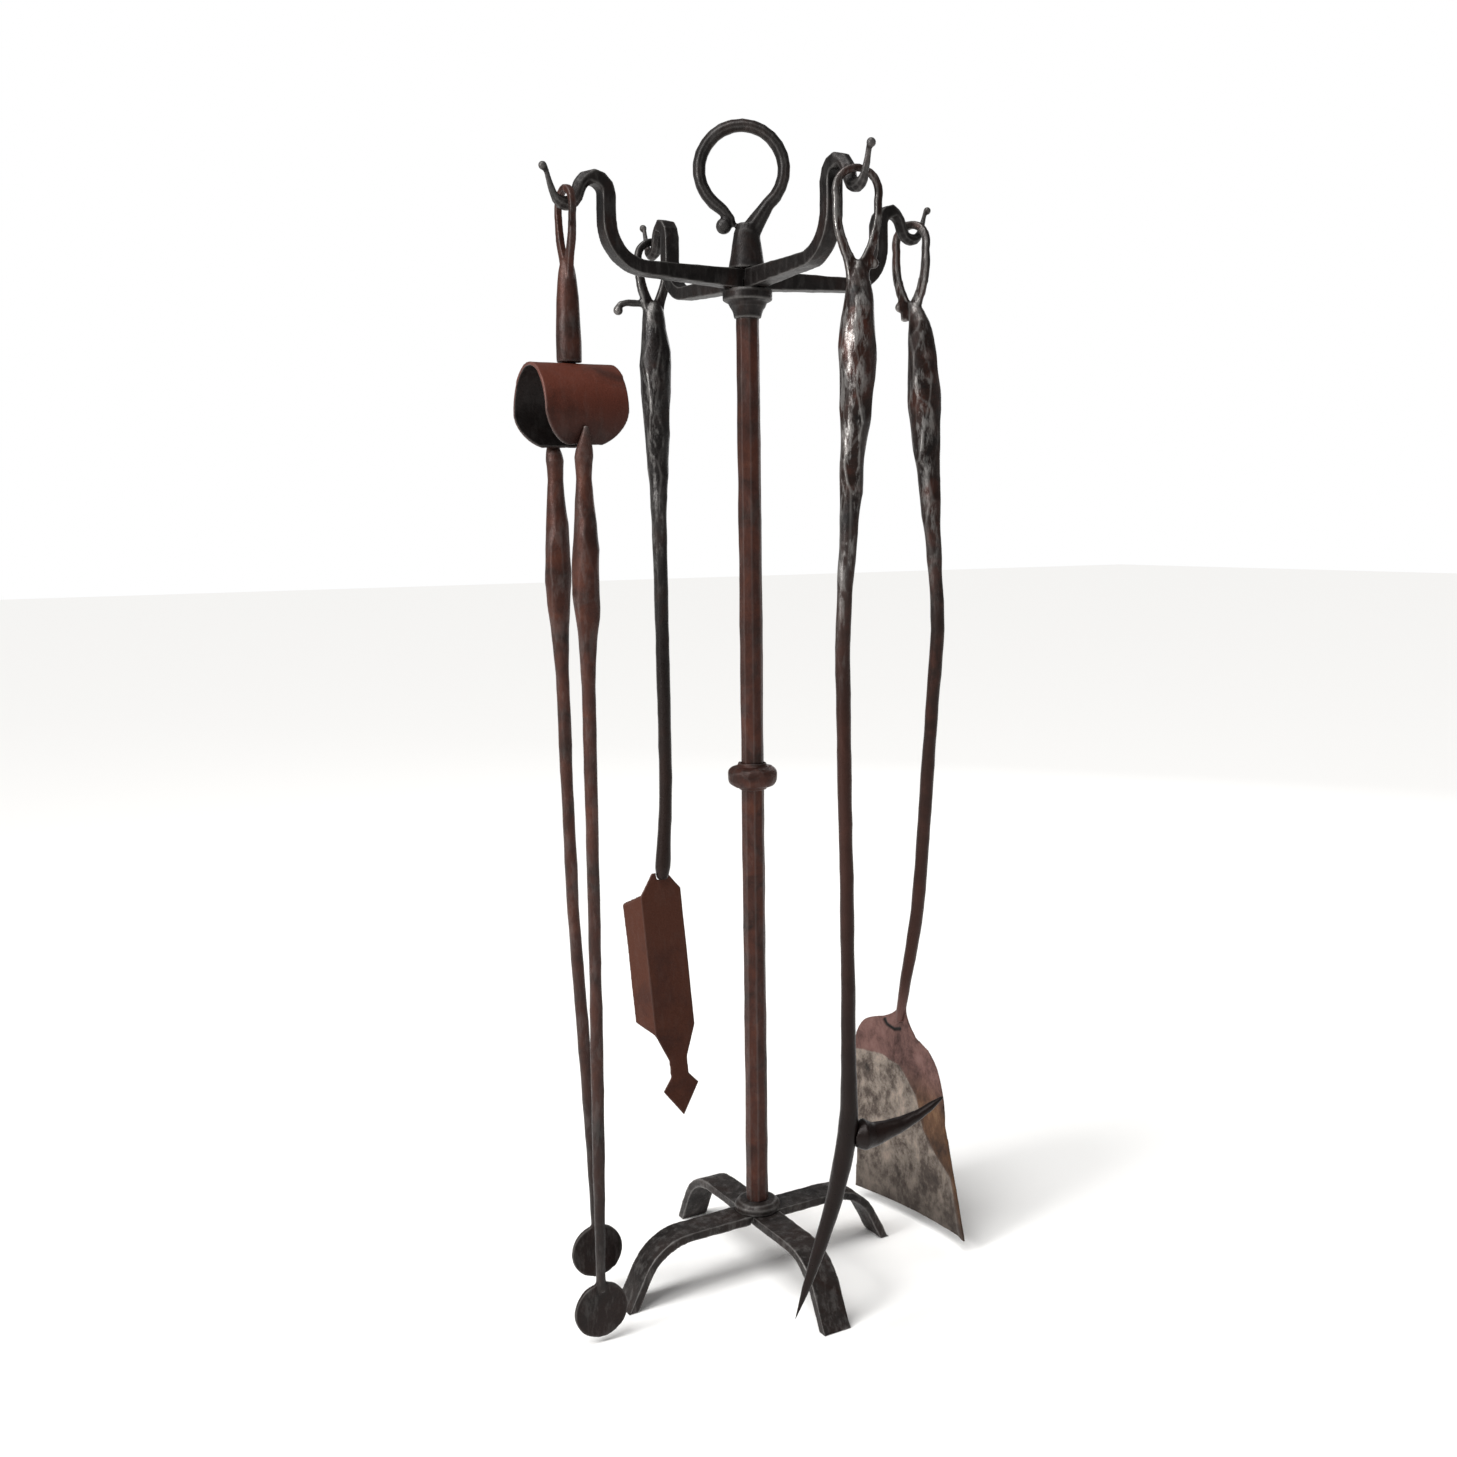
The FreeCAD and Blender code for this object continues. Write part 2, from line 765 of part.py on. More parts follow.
def make_poker_shaft():
    """Eye, polished grip, shaft and the curved spike, forged from one bar."""
    body = new_body("poker_shaft")
    shaft = D["poker_shaft"]
    grip = D["poker_grip"]
    bend = D["poker_bend"]
    kick = D["poker_kick"]
    fork = D["fork_height"]
    tip = D["poker_tip_height"]
    lofted_shaft(
        body,
        "poker_bar",
        [
            (0, 0, D["eye_crotch"] - 1, 8.0),
            (0.6, 0, D["eye_crotch"] - 14, 15.0),
            (0.3, 0, D["eye_crotch"] - 40, grip * 0.93),
            (0, 0, D["eye_crotch"] - 70, grip),
            (bend * 0.33, 0, D["eye_crotch"] - 116, grip * 0.68),
            (bend * 0.64, 0, D["eye_crotch"] - 170, shaft * 1.1),
            (bend, 0, D["eye_crotch"] - 230, shaft),
            (bend * 0.76, 0, fork + 150, shaft * 0.96),
            (bend * 0.66, 0, fork + 40, shaft * 1.06),
            (bend * 0.75, 0, fork, 14.0),
            (kick * 0.4, 0, tip + (fork - tip) * 0.62, 12.0),
            (kick * 0.74, 0, tip + (fork - tip) * 0.25, 8.4),
            (kick, 0, tip, 2.0),
        ],
    )
    draw_eye(body, "poker", "XZ_Plane", D["poker_eye_width"], D["eye_crotch"], 14.0, 1.0)
    add_ball(body, "poker_curl", 10.4, 0, D["eye_crotch"] - 2, D["curl_ball"])
    place(body, as_size(0), -D["reach_front"], D["poker_turn"])
    return body


def make_poker_hook(shaft):
    """The side prong welded into the fork, pointed and turned up."""
    body = new_body("poker_prong")
    reach = D["prong_reach"]
    low = D["fork_height"] - 2.5
    rise = D["prong_rise"]
    root = D["prong_root"]
    stations = (
        (reach * -0.09, low, root * 0.55),
        (reach * 0.06, low, root),
        (reach * 0.17, low - 1, root * 0.75),
        (reach * 0.31, low + rise * 0.03, root * 0.62),
        (reach * 0.5, low + rise * 0.18, root * 0.48),
        (reach * 0.69, low + rise * 0.42, root * 0.35),
        (reach * 0.86, low + rise * 0.72, root * 0.23),
        (reach, low + rise, as_size(1.6)),
    )
    sections = []
    for number, (out, height, diameter) in enumerate(stations):
        sketch = new_sketch(body, f"prong_{number}", "YZ_Plane", (0, height, out))
        draw_circle(sketch, diameter)
        sections.append(sketch)
    feature = body.newObject("PartDesign::AdditiveLoft", "prong_bar")
    feature.Profile = sections[0]
    feature.Sections = sections[1:]
    feature.Ruled = True
    place(body, as_size(0), -D["reach_front"], D["poker_turn"])
    node = DOC.addObject("Part::Cut", "poker_hook")
    node.Base = body
    node.Tool = shaft
    node.Label = "poker_hook"
    return node


def make_shovel_handle():
    """Eye, grip and the bowed shaft, drawn down to the tongue that laps the blade."""
    body = new_body("shovel_handle")
    shaft = D["shovel_shaft"]
    grip = D["shovel_grip"]
    out = D["shovel_bow_out"]
    root = D["shovel_root_height"]
    crotch = D["eye_crotch"]
    lofted_shaft(
        body,
        "shovel_bar",
        [
            (2.0, 0, crotch - 1, 8.0),
            (out * 0.3, 0, crotch - 14, 14.4),
            (out * 0.42, 0, crotch - 40, grip * 0.92),
            (out * 0.5, 0, crotch - 76, grip),
            (out * 0.66, 0, crotch - 122, grip * 0.67),
            (out * 0.9, 0, crotch - 190, shaft),
            (out, 0.3, crotch - 232, shaft),
            (out * 0.8, 0.8, root + 245, shaft * 0.95),
            (out * 0.55, 1.6, root + 170, shaft),
            (out * 0.26, 2.8, root + 92, shaft),
            (-5.0, 3.9, root + 34, shaft * 0.9),
            (-11.0, 4.7, root, 6.4),
        ],
    )
    draw_eye(body, "shovel", "XZ_Plane", D["shovel_eye_width"], crotch, 14.0, 1.6)
    add_ball(body, "shovel_curl", -9.0, 0, crotch - 3, D["curl_ball"])
    place(body, D["reach_right"], as_size(0), D["shovel_turn"])
    return body


def make_shovel_blade(handle):
    """The dished pan, wider at its lip, its shoulders drawn in to the handle."""
    pan = new_body("shovel_pan")
    half = D["blade_width"] / 2
    dish = D["blade_dish"]
    thick = D["blade_thick"]
    low = D["blade_bottom"]
    wide = half + 6
    radius = (wide * wide + dish * dish) / (dish * 2)
    plan = new_sketch(pan, "pan_plan", "XY_Plane", (0, 0, low))
    draw_outline(
        plan,
        [
            (-wide, -dish, -radius),
            (wide, -dish),
            (wide, thick - dish, radius),
            (-wide, thick - dish),
        ],
    )
    shoulder = D["blade_shoulder"]
    pad(pan, "pan_sheet", plan, D["shovel_root_height"] + 20 - low)
    mask = new_body("shovel_outline")
    outline = new_sketch(mask, "shovel_shape", "XZ_Plane")
    draw_outline(
        outline,
        [
            (-half, low),
            (half, low),
            (half * 0.6, shoulder - 40, 90.0),
            (half * 0.46, shoulder, 40.0),
            (half * 0.28, shoulder + 13),
            (half * 0.05, shoulder + 19, -24.0),
            (as_size(-2), shoulder + 32),
            (as_size(-3), shoulder + 42),
            (as_size(-14), shoulder + 42),
            (half * -0.6, shoulder + 28, 30.0),
            (half * -0.98, shoulder, 120.0),
            (half * -0.96, shoulder - 60),
        ],
    )
    pad(mask, "shovel_prism", outline, as_size(60), symmetric=True)
    common = DOC.addObject("Part::MultiCommon", "shovel_sheet")
    common.Shapes = [pan, mask]
    place(common, D["reach_right"] + 2.5, as_size(-1), D["blade_turn"])
    node = DOC.addObject("Part::Cut", "shovel_blade")
    node.Base = common
    node.Tool = handle
    node.Label = "shovel_blade"
    return node


def make_brush_handle():
    """Eye with a side curl, grip and shaft down to the brush back."""
    body = new_body("brush_bar")
    shaft = D["brush_shaft"]
    grip = D["brush_grip"]
    root = D["brush_root_height"]
    crotch = D["brush_eye_crotch"]
    lofted_shaft(
        body,
        "brush_rod",
        [
            (0, 0, crotch - 1, 9.0),
            (0, 0, crotch - 8, 15.8),
            (0.4, 0, crotch - 20, 17.8),
            (1.2, 0, crotch - 46, grip),
            (1.0, 0, crotch - 88, grip * 0.85),
            (1.6, 0, crotch - 118, grip * 0.62),
            (1.6, 0, crotch - 161, shaft * 1.07),
            (2.2, 0, crotch - 260, shaft),
            (3.0, 0, root + 80, shaft * 0.95),
            (1.0, 0, root + 40, shaft),
            (-1.2, 0, root + 10, shaft * 1.15),
            (-1.8, 0, root, 8.0),
        ],
    )
    draw_eye(body, "brush", "XZ_Plane", D["brush_eye_width"], crotch, 15.0, 0.2)
    place(body, as_size(0), D["reach_back"], D["brush_turn"])
    high = crotch.value - 3
    reach = D["reach_back"].value
    stations = [
        (V(3, reach + 1.0, high), 5.4, 5.4),
        (V(-10, reach + 2.0, high + 0.6), 5.0, 5.0),
        (V(-20, reach + 2.4, high + 0.6), 4.8, 4.8),
        (V(-26, reach + 2.4, high - 1), 4.6, 4.6),
        (V(-28.4, reach + 2.4, high - 3.8), 4.4, 4.4),
    ]
    curl = DOC.addObject("Part::Feature", "brush_curl")
    ball = Part.makeSphere(D["curl_ball"].value / 2, stations[-1][0] + V(0.6, 0, -1.6))
    curl.Shape = forged_bar(stations, V(0, 1, 0)).fuse(ball)
    node = DOC.addObject("Part::MultiFuse", "brush_handle")
    node.Shapes = [body, curl]
    node.Label = "brush_handle"
    return node


def make_brush_back(handle):
    """The folded sheet that clasps the brush block, with a spear-shaped finial."""
    channel = new_body("brush_channel")
    half = D["spine_width"] / 2
    thick = D["plate_thick"]
    back = D["flange_depth"] * sine(D["flange_fold"])
    side = D["flange_depth"] * cosine(D["flange_fold"])
    bottom = D["finial_tip"]
    section = new_sketch(channel, "channel_section", "XY_Plane", (0, 0, bottom))
    draw_outline(
        section,
        [
            (-half, as_size(0)),
            (half, as_size(0)),
            (half + side, back),
            (half + side - thick, back + thick * 0.4),
            (half - thick * 0.6, thick),
            (-half + thick * 0.6, thick),
            (-half - side + thick, back + thick * 0.4),
            (-half - side, back),
        ],
    )
    top = D["spine_top"]
    pad(channel, "channel_sheet", section, top - bottom + 20)
    mask = new_body("brush_outline")
    outline = new_sketch(mask, "brush_shape", "XZ_Plane")
    low = D["spine_bottom"]
    barb = D["finial_width"] / 2
    right = [
        (barb, bottom + 24),
        (barb / 2, bottom + 34),
        (barb / 2, low - 24),
        (half, low),
        (half + side, low + 9),
        (half + side, top - 9),
        (half, top),
        (as_size(6), top + 16),
    ]
    left = [(-u, v) for u, v in reversed(right)]
    draw_outline(outline, [(as_size(0), bottom)] + right + left)
    pad(mask, "brush_prism", outline, as_size(90), symmetric=True)
    common = DOC.addObject("Part::MultiCommon", "brush_sheet")
    common.Shapes = [channel, mask]
    lean = FreeCAD.Rotation(V(0, 1, 0), -D["plate_lean"].value)
    pivot = V(0, 0, D["spine_top"].value)
    rest = V(-3.2, D["reach_back"].value, 0)
    common.Placement = FreeCAD.Placement(rest, lean, pivot)
    node = DOC.addObject("Part::Cut", "brush_back")
    node.Base = common
    node.Tool = handle
    node.Label = "brush_back"
    return node


def bow_middle():
    """Height of the bow's middle, which hangs clear below the spider."""
    return D["spider_height"] - D["bow_drop"]


def make_tongs_hanger():
    """Eye and square shank, riveted through the crown of the spring bow."""
    body = new_body("tongs_hanger")
    crotch = D["tongs_eye_crotch"]
    crown = bow_middle() + D["bow_radius"]
    shank = D["shank_width"]
    inner = crown - D["bow_thick"]
    lofted_shaft(
        body,
        "tongs_shank",
        [
            (0, 0, crotch - 1, 8.5),
            (0, 0, crotch - 9, shank * 0.72),
            (0, 0, crotch - 24, shank * 0.9),
            (0, 0, crown + 12, shank),
            (0, 0, crown, shank * 0.98),
        ],
    )
    draw_eye(body, "tongs", "YZ_Plane", D["tongs_eye_width"], crotch, 14.0, 0.3)
    pin = new_sketch(body, "tongs_pin_section", "XY_Plane", (0, 0, crown + 1))
    draw_circle(pin, D["tongs_tenon"])
    pad(body, "tongs_pin", pin, D["bow_thick"] + 2, is_reversed=True)
    head = new_sketch(body, "tongs_rivet_section", "XY_Plane", (0, 0, inner - 0.05))
    draw_circle(head, D["tongs_rivet"])
    pad(body, "tongs_rivet_head", head, D["tongs_rivet_height"], is_reversed=True)
    place(body, -D["reach_left"], as_size(0), D["tongs_turn"])
    return body


def make_tongs_bow(hanger):
    """The sheet spring bent into a C, its lower corners drawn in towards the two arms."""
    body = new_body("tongs_spring")
    radius = D["bow_radius"]
    inner = radius - D["bow_thick"]
    gap = D["bow_gap"]
    section = new_sketch(body, "bow_section", "YZ_Plane", (0, bow_middle(), 0))
    left = (-(radius * sine(gap)), -(radius * cosine(gap)))
    left_inner = (-(inner * sine(gap)), -(inner * cosine(gap)))
    right = (radius * sine(gap), -(radius * cosine(gap)))
    right_inner = (inner * sine(gap), -(inner * cosine(gap)))
    draw_outline(
        section,
        [
            (right[0], right[1], radius),
            (as_size(0), radius, radius),
            left,
            (left_inner[0], left_inner[1], -inner),
            (as_size(0), inner, -inner),
            right_inner,
        ],
    )
    pad(body, "bow_sheet", section, D["bow_width"], symmetric=True)
    half = D["bow_width"] / 2
    low = bow_middle() - radius
    end = bow_middle() - radius * cosine(gap)
    waist = bow_middle()
    for name, sign in (("left", -1), ("right", 1)):
        corner = new_sketch(body, f"bow_{name}_corner", "XZ_Plane")
        points = [
            (half * sign, waist, D["bow_radius"] * -0.85 * sign),
            (as_size(11 * sign), end),
            (as_size(11 * sign), low),
            (half * sign + sign, low),
            (half * sign + sign, waist),
        ]
        draw_outline(corner, points)
        pocket(body, f"bow_{name}_trim", corner, radius * 4, symmetric=True)
    place(body, -D["reach_left"], as_size(0), D["tongs_turn"])
    node = DOC.addObject("Part::Cut", "tongs_bow")
    node.Base = body
    node.Tool = hanger
    node.Label = "tongs_bow"
    return node


def make_tongs_arm(name, sign, spread, shift, jaw_height, swing):
    """One arm: the lap on the bow, the swelling grip, the shaft and the round jaw."""
    body = new_body(name)
    top = D["jaw_spread_top"] * sign
    end = as_size(spread) * sign
    grip = D["tongs_grip"]
    shaft = D["tongs_shaft"]
    root = bow_middle() - D["bow_radius"]
    jaw_top = jaw_height + D["jaw_width"] / 2
    length = root - jaw_top
    lofted_shaft(
        body,
        f"{name}_bar",
        [
            (-2, top * 1.24, root + 22, 3.0),
            (-2, top * 1.12, root + 12, 9.0),
            (-2, top * 1.02, root + 3, 12.6),
            (-2, top, root - 10, 10.4),
            (swing[0], top + (end - top) * 0.1, root - length * 0.1, grip),
            (swing[1], top + (end - top) * 0.17, root - length * 0.17, grip * 0.96),
            (swing[2], top + (end - top) * 0.26, root - length * 0.26, shaft * 1.1),
            (swing[3], top + (end - top) * 0.56, root - length * 0.56, shaft),
            (swing[4], top + (end - top) * 0.8, root - length * 0.8, shaft * 1.04),
            (shift, end, jaw_top - 6, shaft * 0.8),
        ],
    )
    jaw = new_sketch(body, f"{name}_jaw_circle", "XZ_Plane", (shift, jaw_height, -end))
    draw_circle(jaw, D["jaw_width"])
    pad(body, f"{name}_jaw", jaw, D["jaw_thick"], symmetric=True)
    lap = new_sketch(body, f"{name}_lap_circle", "YZ_Plane", (0, bow_middle(), 0))
    draw_circle(lap, (D["bow_radius"] + D["lap_gap"]) * 2)
    pocket(body, f"{name}_lap", lap, D["bow_width"], symmetric=True)
    place(body, -D["reach_left"], as_size(0), D["tongs_turn"])
    return body


def check_and_write(nodes):
    """Stop on any feature that failed, then write one STEP file for each sub-part."""
    DOC.recompute()
    for thing in DOC.Objects:
        states = set(thing.State)
        if states & {"Invalid", "Error"}:
            raise ValueError(f"{thing.Name} failed: {thing.State}")
    os.makedirs("parts", exist_ok=True)
    for node in nodes:
        shape = node.Shape
        if shape.isNull() or not shape.isValid():
            raise ValueError(f"{node.Label} has no valid shape")
        shape.exportStep(f"parts/{node.Label}.step")
        print(f"{node.Label}: {len(shape.Solids)} solid, {shape.Volume / 1000:.2f} cm3")


def main():
    """Build the stand and the four tools, and write every sub-part."""
    nodes = [
        make_foot_bar("base_bar_sides", "XZ_Plane", D["foot_reach_sides"], False),
        make_foot_bar("base_bar_ends", "YZ_Plane", D["foot_reach_ends"], True),
        make_foot_collar(),
        make_post(),
        make_knop(),
        make_top_collar(),
    ]
    sides = (D["reach_right"], D["reach_left"])
    ends = (D["reach_back"], D["reach_front"])
    nodes.append(make_spider_bar("spider_bar_sides", "XZ_Plane", sides, 0, False))
    nodes.append(make_spider_bar("spider_bar_ends", "YZ_Plane", ends, 90, True))
    nodes.append(make_carry_ring())
    poker = make_poker_shaft()
    shovel = make_shovel_handle()
    brush = make_brush_handle()
    hanger = make_tongs_hanger()
    nodes += [poker, make_poker_hook(poker), shovel, make_shovel_blade(shovel)]
    nodes += [brush, make_brush_back(brush), hanger, make_tongs_bow(hanger)]
    front = (D["jaw_spread_front"], D["jaw_shift_front"], D["jaw_height_front"])
    back = (D["jaw_spread_back"], D["jaw_shift_back"], D["jaw_height_back"])
    nodes.append(make_tongs_arm("tongs_arm_front", -1, *front, (-2, -2.5, -3, -4, -5.5)))
    nodes.append(make_tongs_arm("tongs_arm_back", 1, *back, (-2, -2, -1, 2, 9)))
    check_and_write(nodes)


main()
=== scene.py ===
import math

import bpy
from bpy.props import FloatProperty, FloatVectorProperty, PointerProperty, StringProperty
from mathutils import Matrix, Quaternion, Vector


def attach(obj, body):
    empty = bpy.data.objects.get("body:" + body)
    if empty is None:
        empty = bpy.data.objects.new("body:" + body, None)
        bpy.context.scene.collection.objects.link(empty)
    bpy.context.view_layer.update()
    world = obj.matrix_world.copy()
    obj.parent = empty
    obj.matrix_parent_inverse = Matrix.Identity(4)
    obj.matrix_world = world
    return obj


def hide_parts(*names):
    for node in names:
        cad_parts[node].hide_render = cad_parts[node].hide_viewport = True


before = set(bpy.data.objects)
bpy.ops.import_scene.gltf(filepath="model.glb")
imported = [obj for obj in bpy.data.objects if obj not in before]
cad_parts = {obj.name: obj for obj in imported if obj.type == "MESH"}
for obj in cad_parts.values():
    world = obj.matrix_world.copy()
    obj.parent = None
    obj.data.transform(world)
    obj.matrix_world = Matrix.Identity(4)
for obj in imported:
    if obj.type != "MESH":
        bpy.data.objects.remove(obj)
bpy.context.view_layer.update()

bl_info = {
    "name": "Forged Fireplace Set",
    "version": (1, 0, 0),
    "blender": (4, 5, 0),
    "location": "View3D > Sidebar > Fireplace Set",
    "description": "Hammered ironwork for a fireplace stand, tongs, poker, brush and shovel",
    "category": "Object",
}

MM = 0.001


# ---------------------------------------------------------------- sizes and colours


class ForgeSizes(bpy.types.PropertyGroup):
    """Sizes of the marks that forging leaves."""

    voxel: FloatProperty(
        name="Surface grain", description="Edge of the small squares that carry hammer marks",
        default=0.9 * MM, unit="LENGTH", precision=5,
    )
    blow_width: FloatProperty(
        name="Blow width", description="Width of one hammer mark on a bar",
        default=8.0 * MM, unit="LENGTH", precision=4,
    )
    blow_stretch: FloatProperty(
        name="Blow stretch", description="How much longer a hammer mark is than it is wide", default=2.4,
    )
    blow_depth: FloatProperty(
        name="Blow depth", description="Depth of a hammer mark on a plain bar",
        default=0.5 * MM, unit="LENGTH", precision=5,
    )
    grip_depth: FloatProperty(
        name="Grip blow depth", description="Further depth of the hammer marks on a grip",
        default=2.2 * MM, unit="LENGTH", precision=5,
    )
    drift: FloatProperty(
        name="Drift", description="How far a hand-drawn bar wanders from its size",
        default=0.7 * MM, unit="LENGTH", precision=5,
    )


class ForgeColours(bpy.types.PropertyGroup):
    """Colours of the iron's finishes, as sRGB hex values."""

    soot: StringProperty(
        name="Soot black", description="Deepest colour of oiled iron", default="#0b0807",
    )
    oiled: StringProperty(
        name="Oiled iron", description="Dark grey of oiled forge scale", default="#1a1615",
    )
    trodden: StringProperty(name="Trodden grey", description="Dusty grey of the base", default="#292422")
    brown: StringProperty(
        name="Brown patina", description="Brown of old oil and rust", default="#22140f",
    )
    rust: StringProperty(name="Red rust", description="Red-brown of thin rust", default="#3c2018")
    russet: StringProperty(name="Russet", description="Warmer brown of dry rust", default="#4a271a")
    copper: StringProperty(
        name="Rubbed rust", description="Lighter rust on the tongs' spring", default="#5c2d20",
    )
    # bright is also painted as a highlight on the grips' faces turned towards -X
    bright: StringProperty(name="Worn iron", description="Iron worn bright by hands", default="#a5a29f")
    ash: StringProperty(name="Ash grey", description="Grey of sheet scoured by ash", default="#857a70")
    pit: StringProperty(name="Pit grey", description="Dark pits in the scoured sheet", default="#2c2724")
    bronze: StringProperty(
        name="Heat bronze", description="Bronze heat tint of the sheet's edge", default="#5a3d28",
    )
    pink: StringProperty(
        name="Scaled pink", description="Pinkish scale near the blade's root", default="#6f504a",
    )
    pit_edge: StringProperty(name="Pit edge", description="Grey-brown round the pits", default="#574c45")
    scoured: StringProperty(name="Scoured", description="Palest, most scoured sheet", default="#a8978a")
    bronze_dark: StringProperty(
        name="Dark bronze", description="Darkest of the heat tint", default="#2f211a",
    )
    bronze_pale: StringProperty(
        name="Pale bronze", description="Palest of the heat tint", default="#7a5b3e",
    )
    scale_dark: StringProperty(
        name="Dark scale", description="Darkest of the pinkish scale", default="#3b2623",
    )
    scale_pale: StringProperty(
        name="Pale scale", description="Palest of the pinkish scale", default="#80605a",
    )
    burnt: StringProperty(name="Burnt lip", description="Dark foot of the blade", default="#2a221d")
    floor: StringProperty(name="Floor", description="Pale floor", default="#fbfaf8")


class CameraSizes(bpy.types.PropertyGroup):
    """Where the camera stands and how it looks."""

    place: FloatVectorProperty(
        name="Place", description="Where the camera stands",
        default=(-0.5248, -0.8919, 0.5385), subtype="XYZ",
    )
    ahead: FloatVectorProperty(
        name="Ahead", description="Direction the camera looks in",
        default=(0.5081, 0.8505, -0.1363), subtype="DIRECTION",
    )
    roll: FloatProperty(
        name="Roll", description="Turn about the line of sight", default=-0.0101, subtype="ANGLE",
    )
    lens: FloatProperty(name="Lens", description="Focal length in millimetres", default=37.31)
    shift: FloatProperty(name="Shift", description="Sideways shift of the lens", default=-0.0231)


# ---------------------------------------------------------------- small helpers


def linear(code):
    """An sRGB hex colour as linear RGBA."""
    channels = []
    for start in (1, 3, 5):
        value = int(code[start:start + 2], 16) / 255
        channels.append(value / 12.92 if value <= 0.04045 else ((value + 0.055) / 1.055) ** 2.4)
    return (*channels, 1.0)


def select_only(*objects):
    """Select these objects and nothing else."""
    bpy.ops.object.select_all(action="DESELECT")
    for thing in objects:
        thing.select_set(True)
    bpy.context.view_layer.objects.active = objects[0]


def modify(piece, kind, **settings):
    """Give a piece one modifier and apply it."""
    select_only(piece)
    modifier = piece.modifiers.new(kind.lower(), kind)
    for key, value in settings.items():
        setattr(modifier, key, value)
    bpy.ops.object.modifier_apply(modifier=modifier.name)


def add_node(tree, kind, inputs=None, **settings):
    """Add a node with its settings; an input is a plain value or another node's output."""
    made = tree.nodes.new(kind)
    for key, value in settings.items():
        setattr(made, key, value)
    for key, value in (inputs or {}).items():
        if isinstance(value, bpy.types.NodeSocket):
            tree.links.new(value, made.inputs[key])
        else:
            made.inputs[key].default_value = value
    return made


def fill_ramp(ramp, stops):
    """Set a colour ramp's stops as (place, colour)."""
    elements = ramp.color_ramp.elements
    while len(elements) < len(stops):
        elements.new(0.5)
    for element, (place, colour) in zip(elements, stops):
        element.position = place
        element.color = colour


# ---------------------------------------------------------------- finishes


RUB_MM = 6.0  # width of one rubbed patch
RUB_ALONG = 0.3  # how much a rubbed patch is drawn out along the bar
MOTTLE_MM = 20.0  # size of the blotches that ash leaves
MOTTLE_ALONG = 0.75

def start_material(name, **sockets):
    """A new node material, its Principled shader and its Object coordinates."""
    made = bpy.data.materials.new(name)
    made.use_nodes = True
    shader = made.node_tree.nodes["Principled BSDF"]
    for key, value in sockets.items():
        shader.inputs[key.replace("_", " ")].default_value = value
    place = add_node(made.node_tree, "ShaderNodeTexCoord").outputs["Object"]
    return made, made.node_tree, shader, place


def fire_scale(tree, shader, place, size_mm, depth_mm, strength):
    """Bump from the bite of fire scale, drawn as coarse as still shows."""
    grain = add_node(
        tree, "ShaderNodeTexNoise",
        {"Vector": place, "Scale": 1000 / size_mm, "Detail": 4.0, "Roughness": 0.65},
    ).outputs["Fac"]
    bump = add_node(
        tree, "ShaderNodeBump", {"Height": grain, "Strength": strength, "Distance": depth_mm * MM},
    )
    tree.links.new(bump.outputs["Normal"], shader.inputs["Normal"])
    return grain


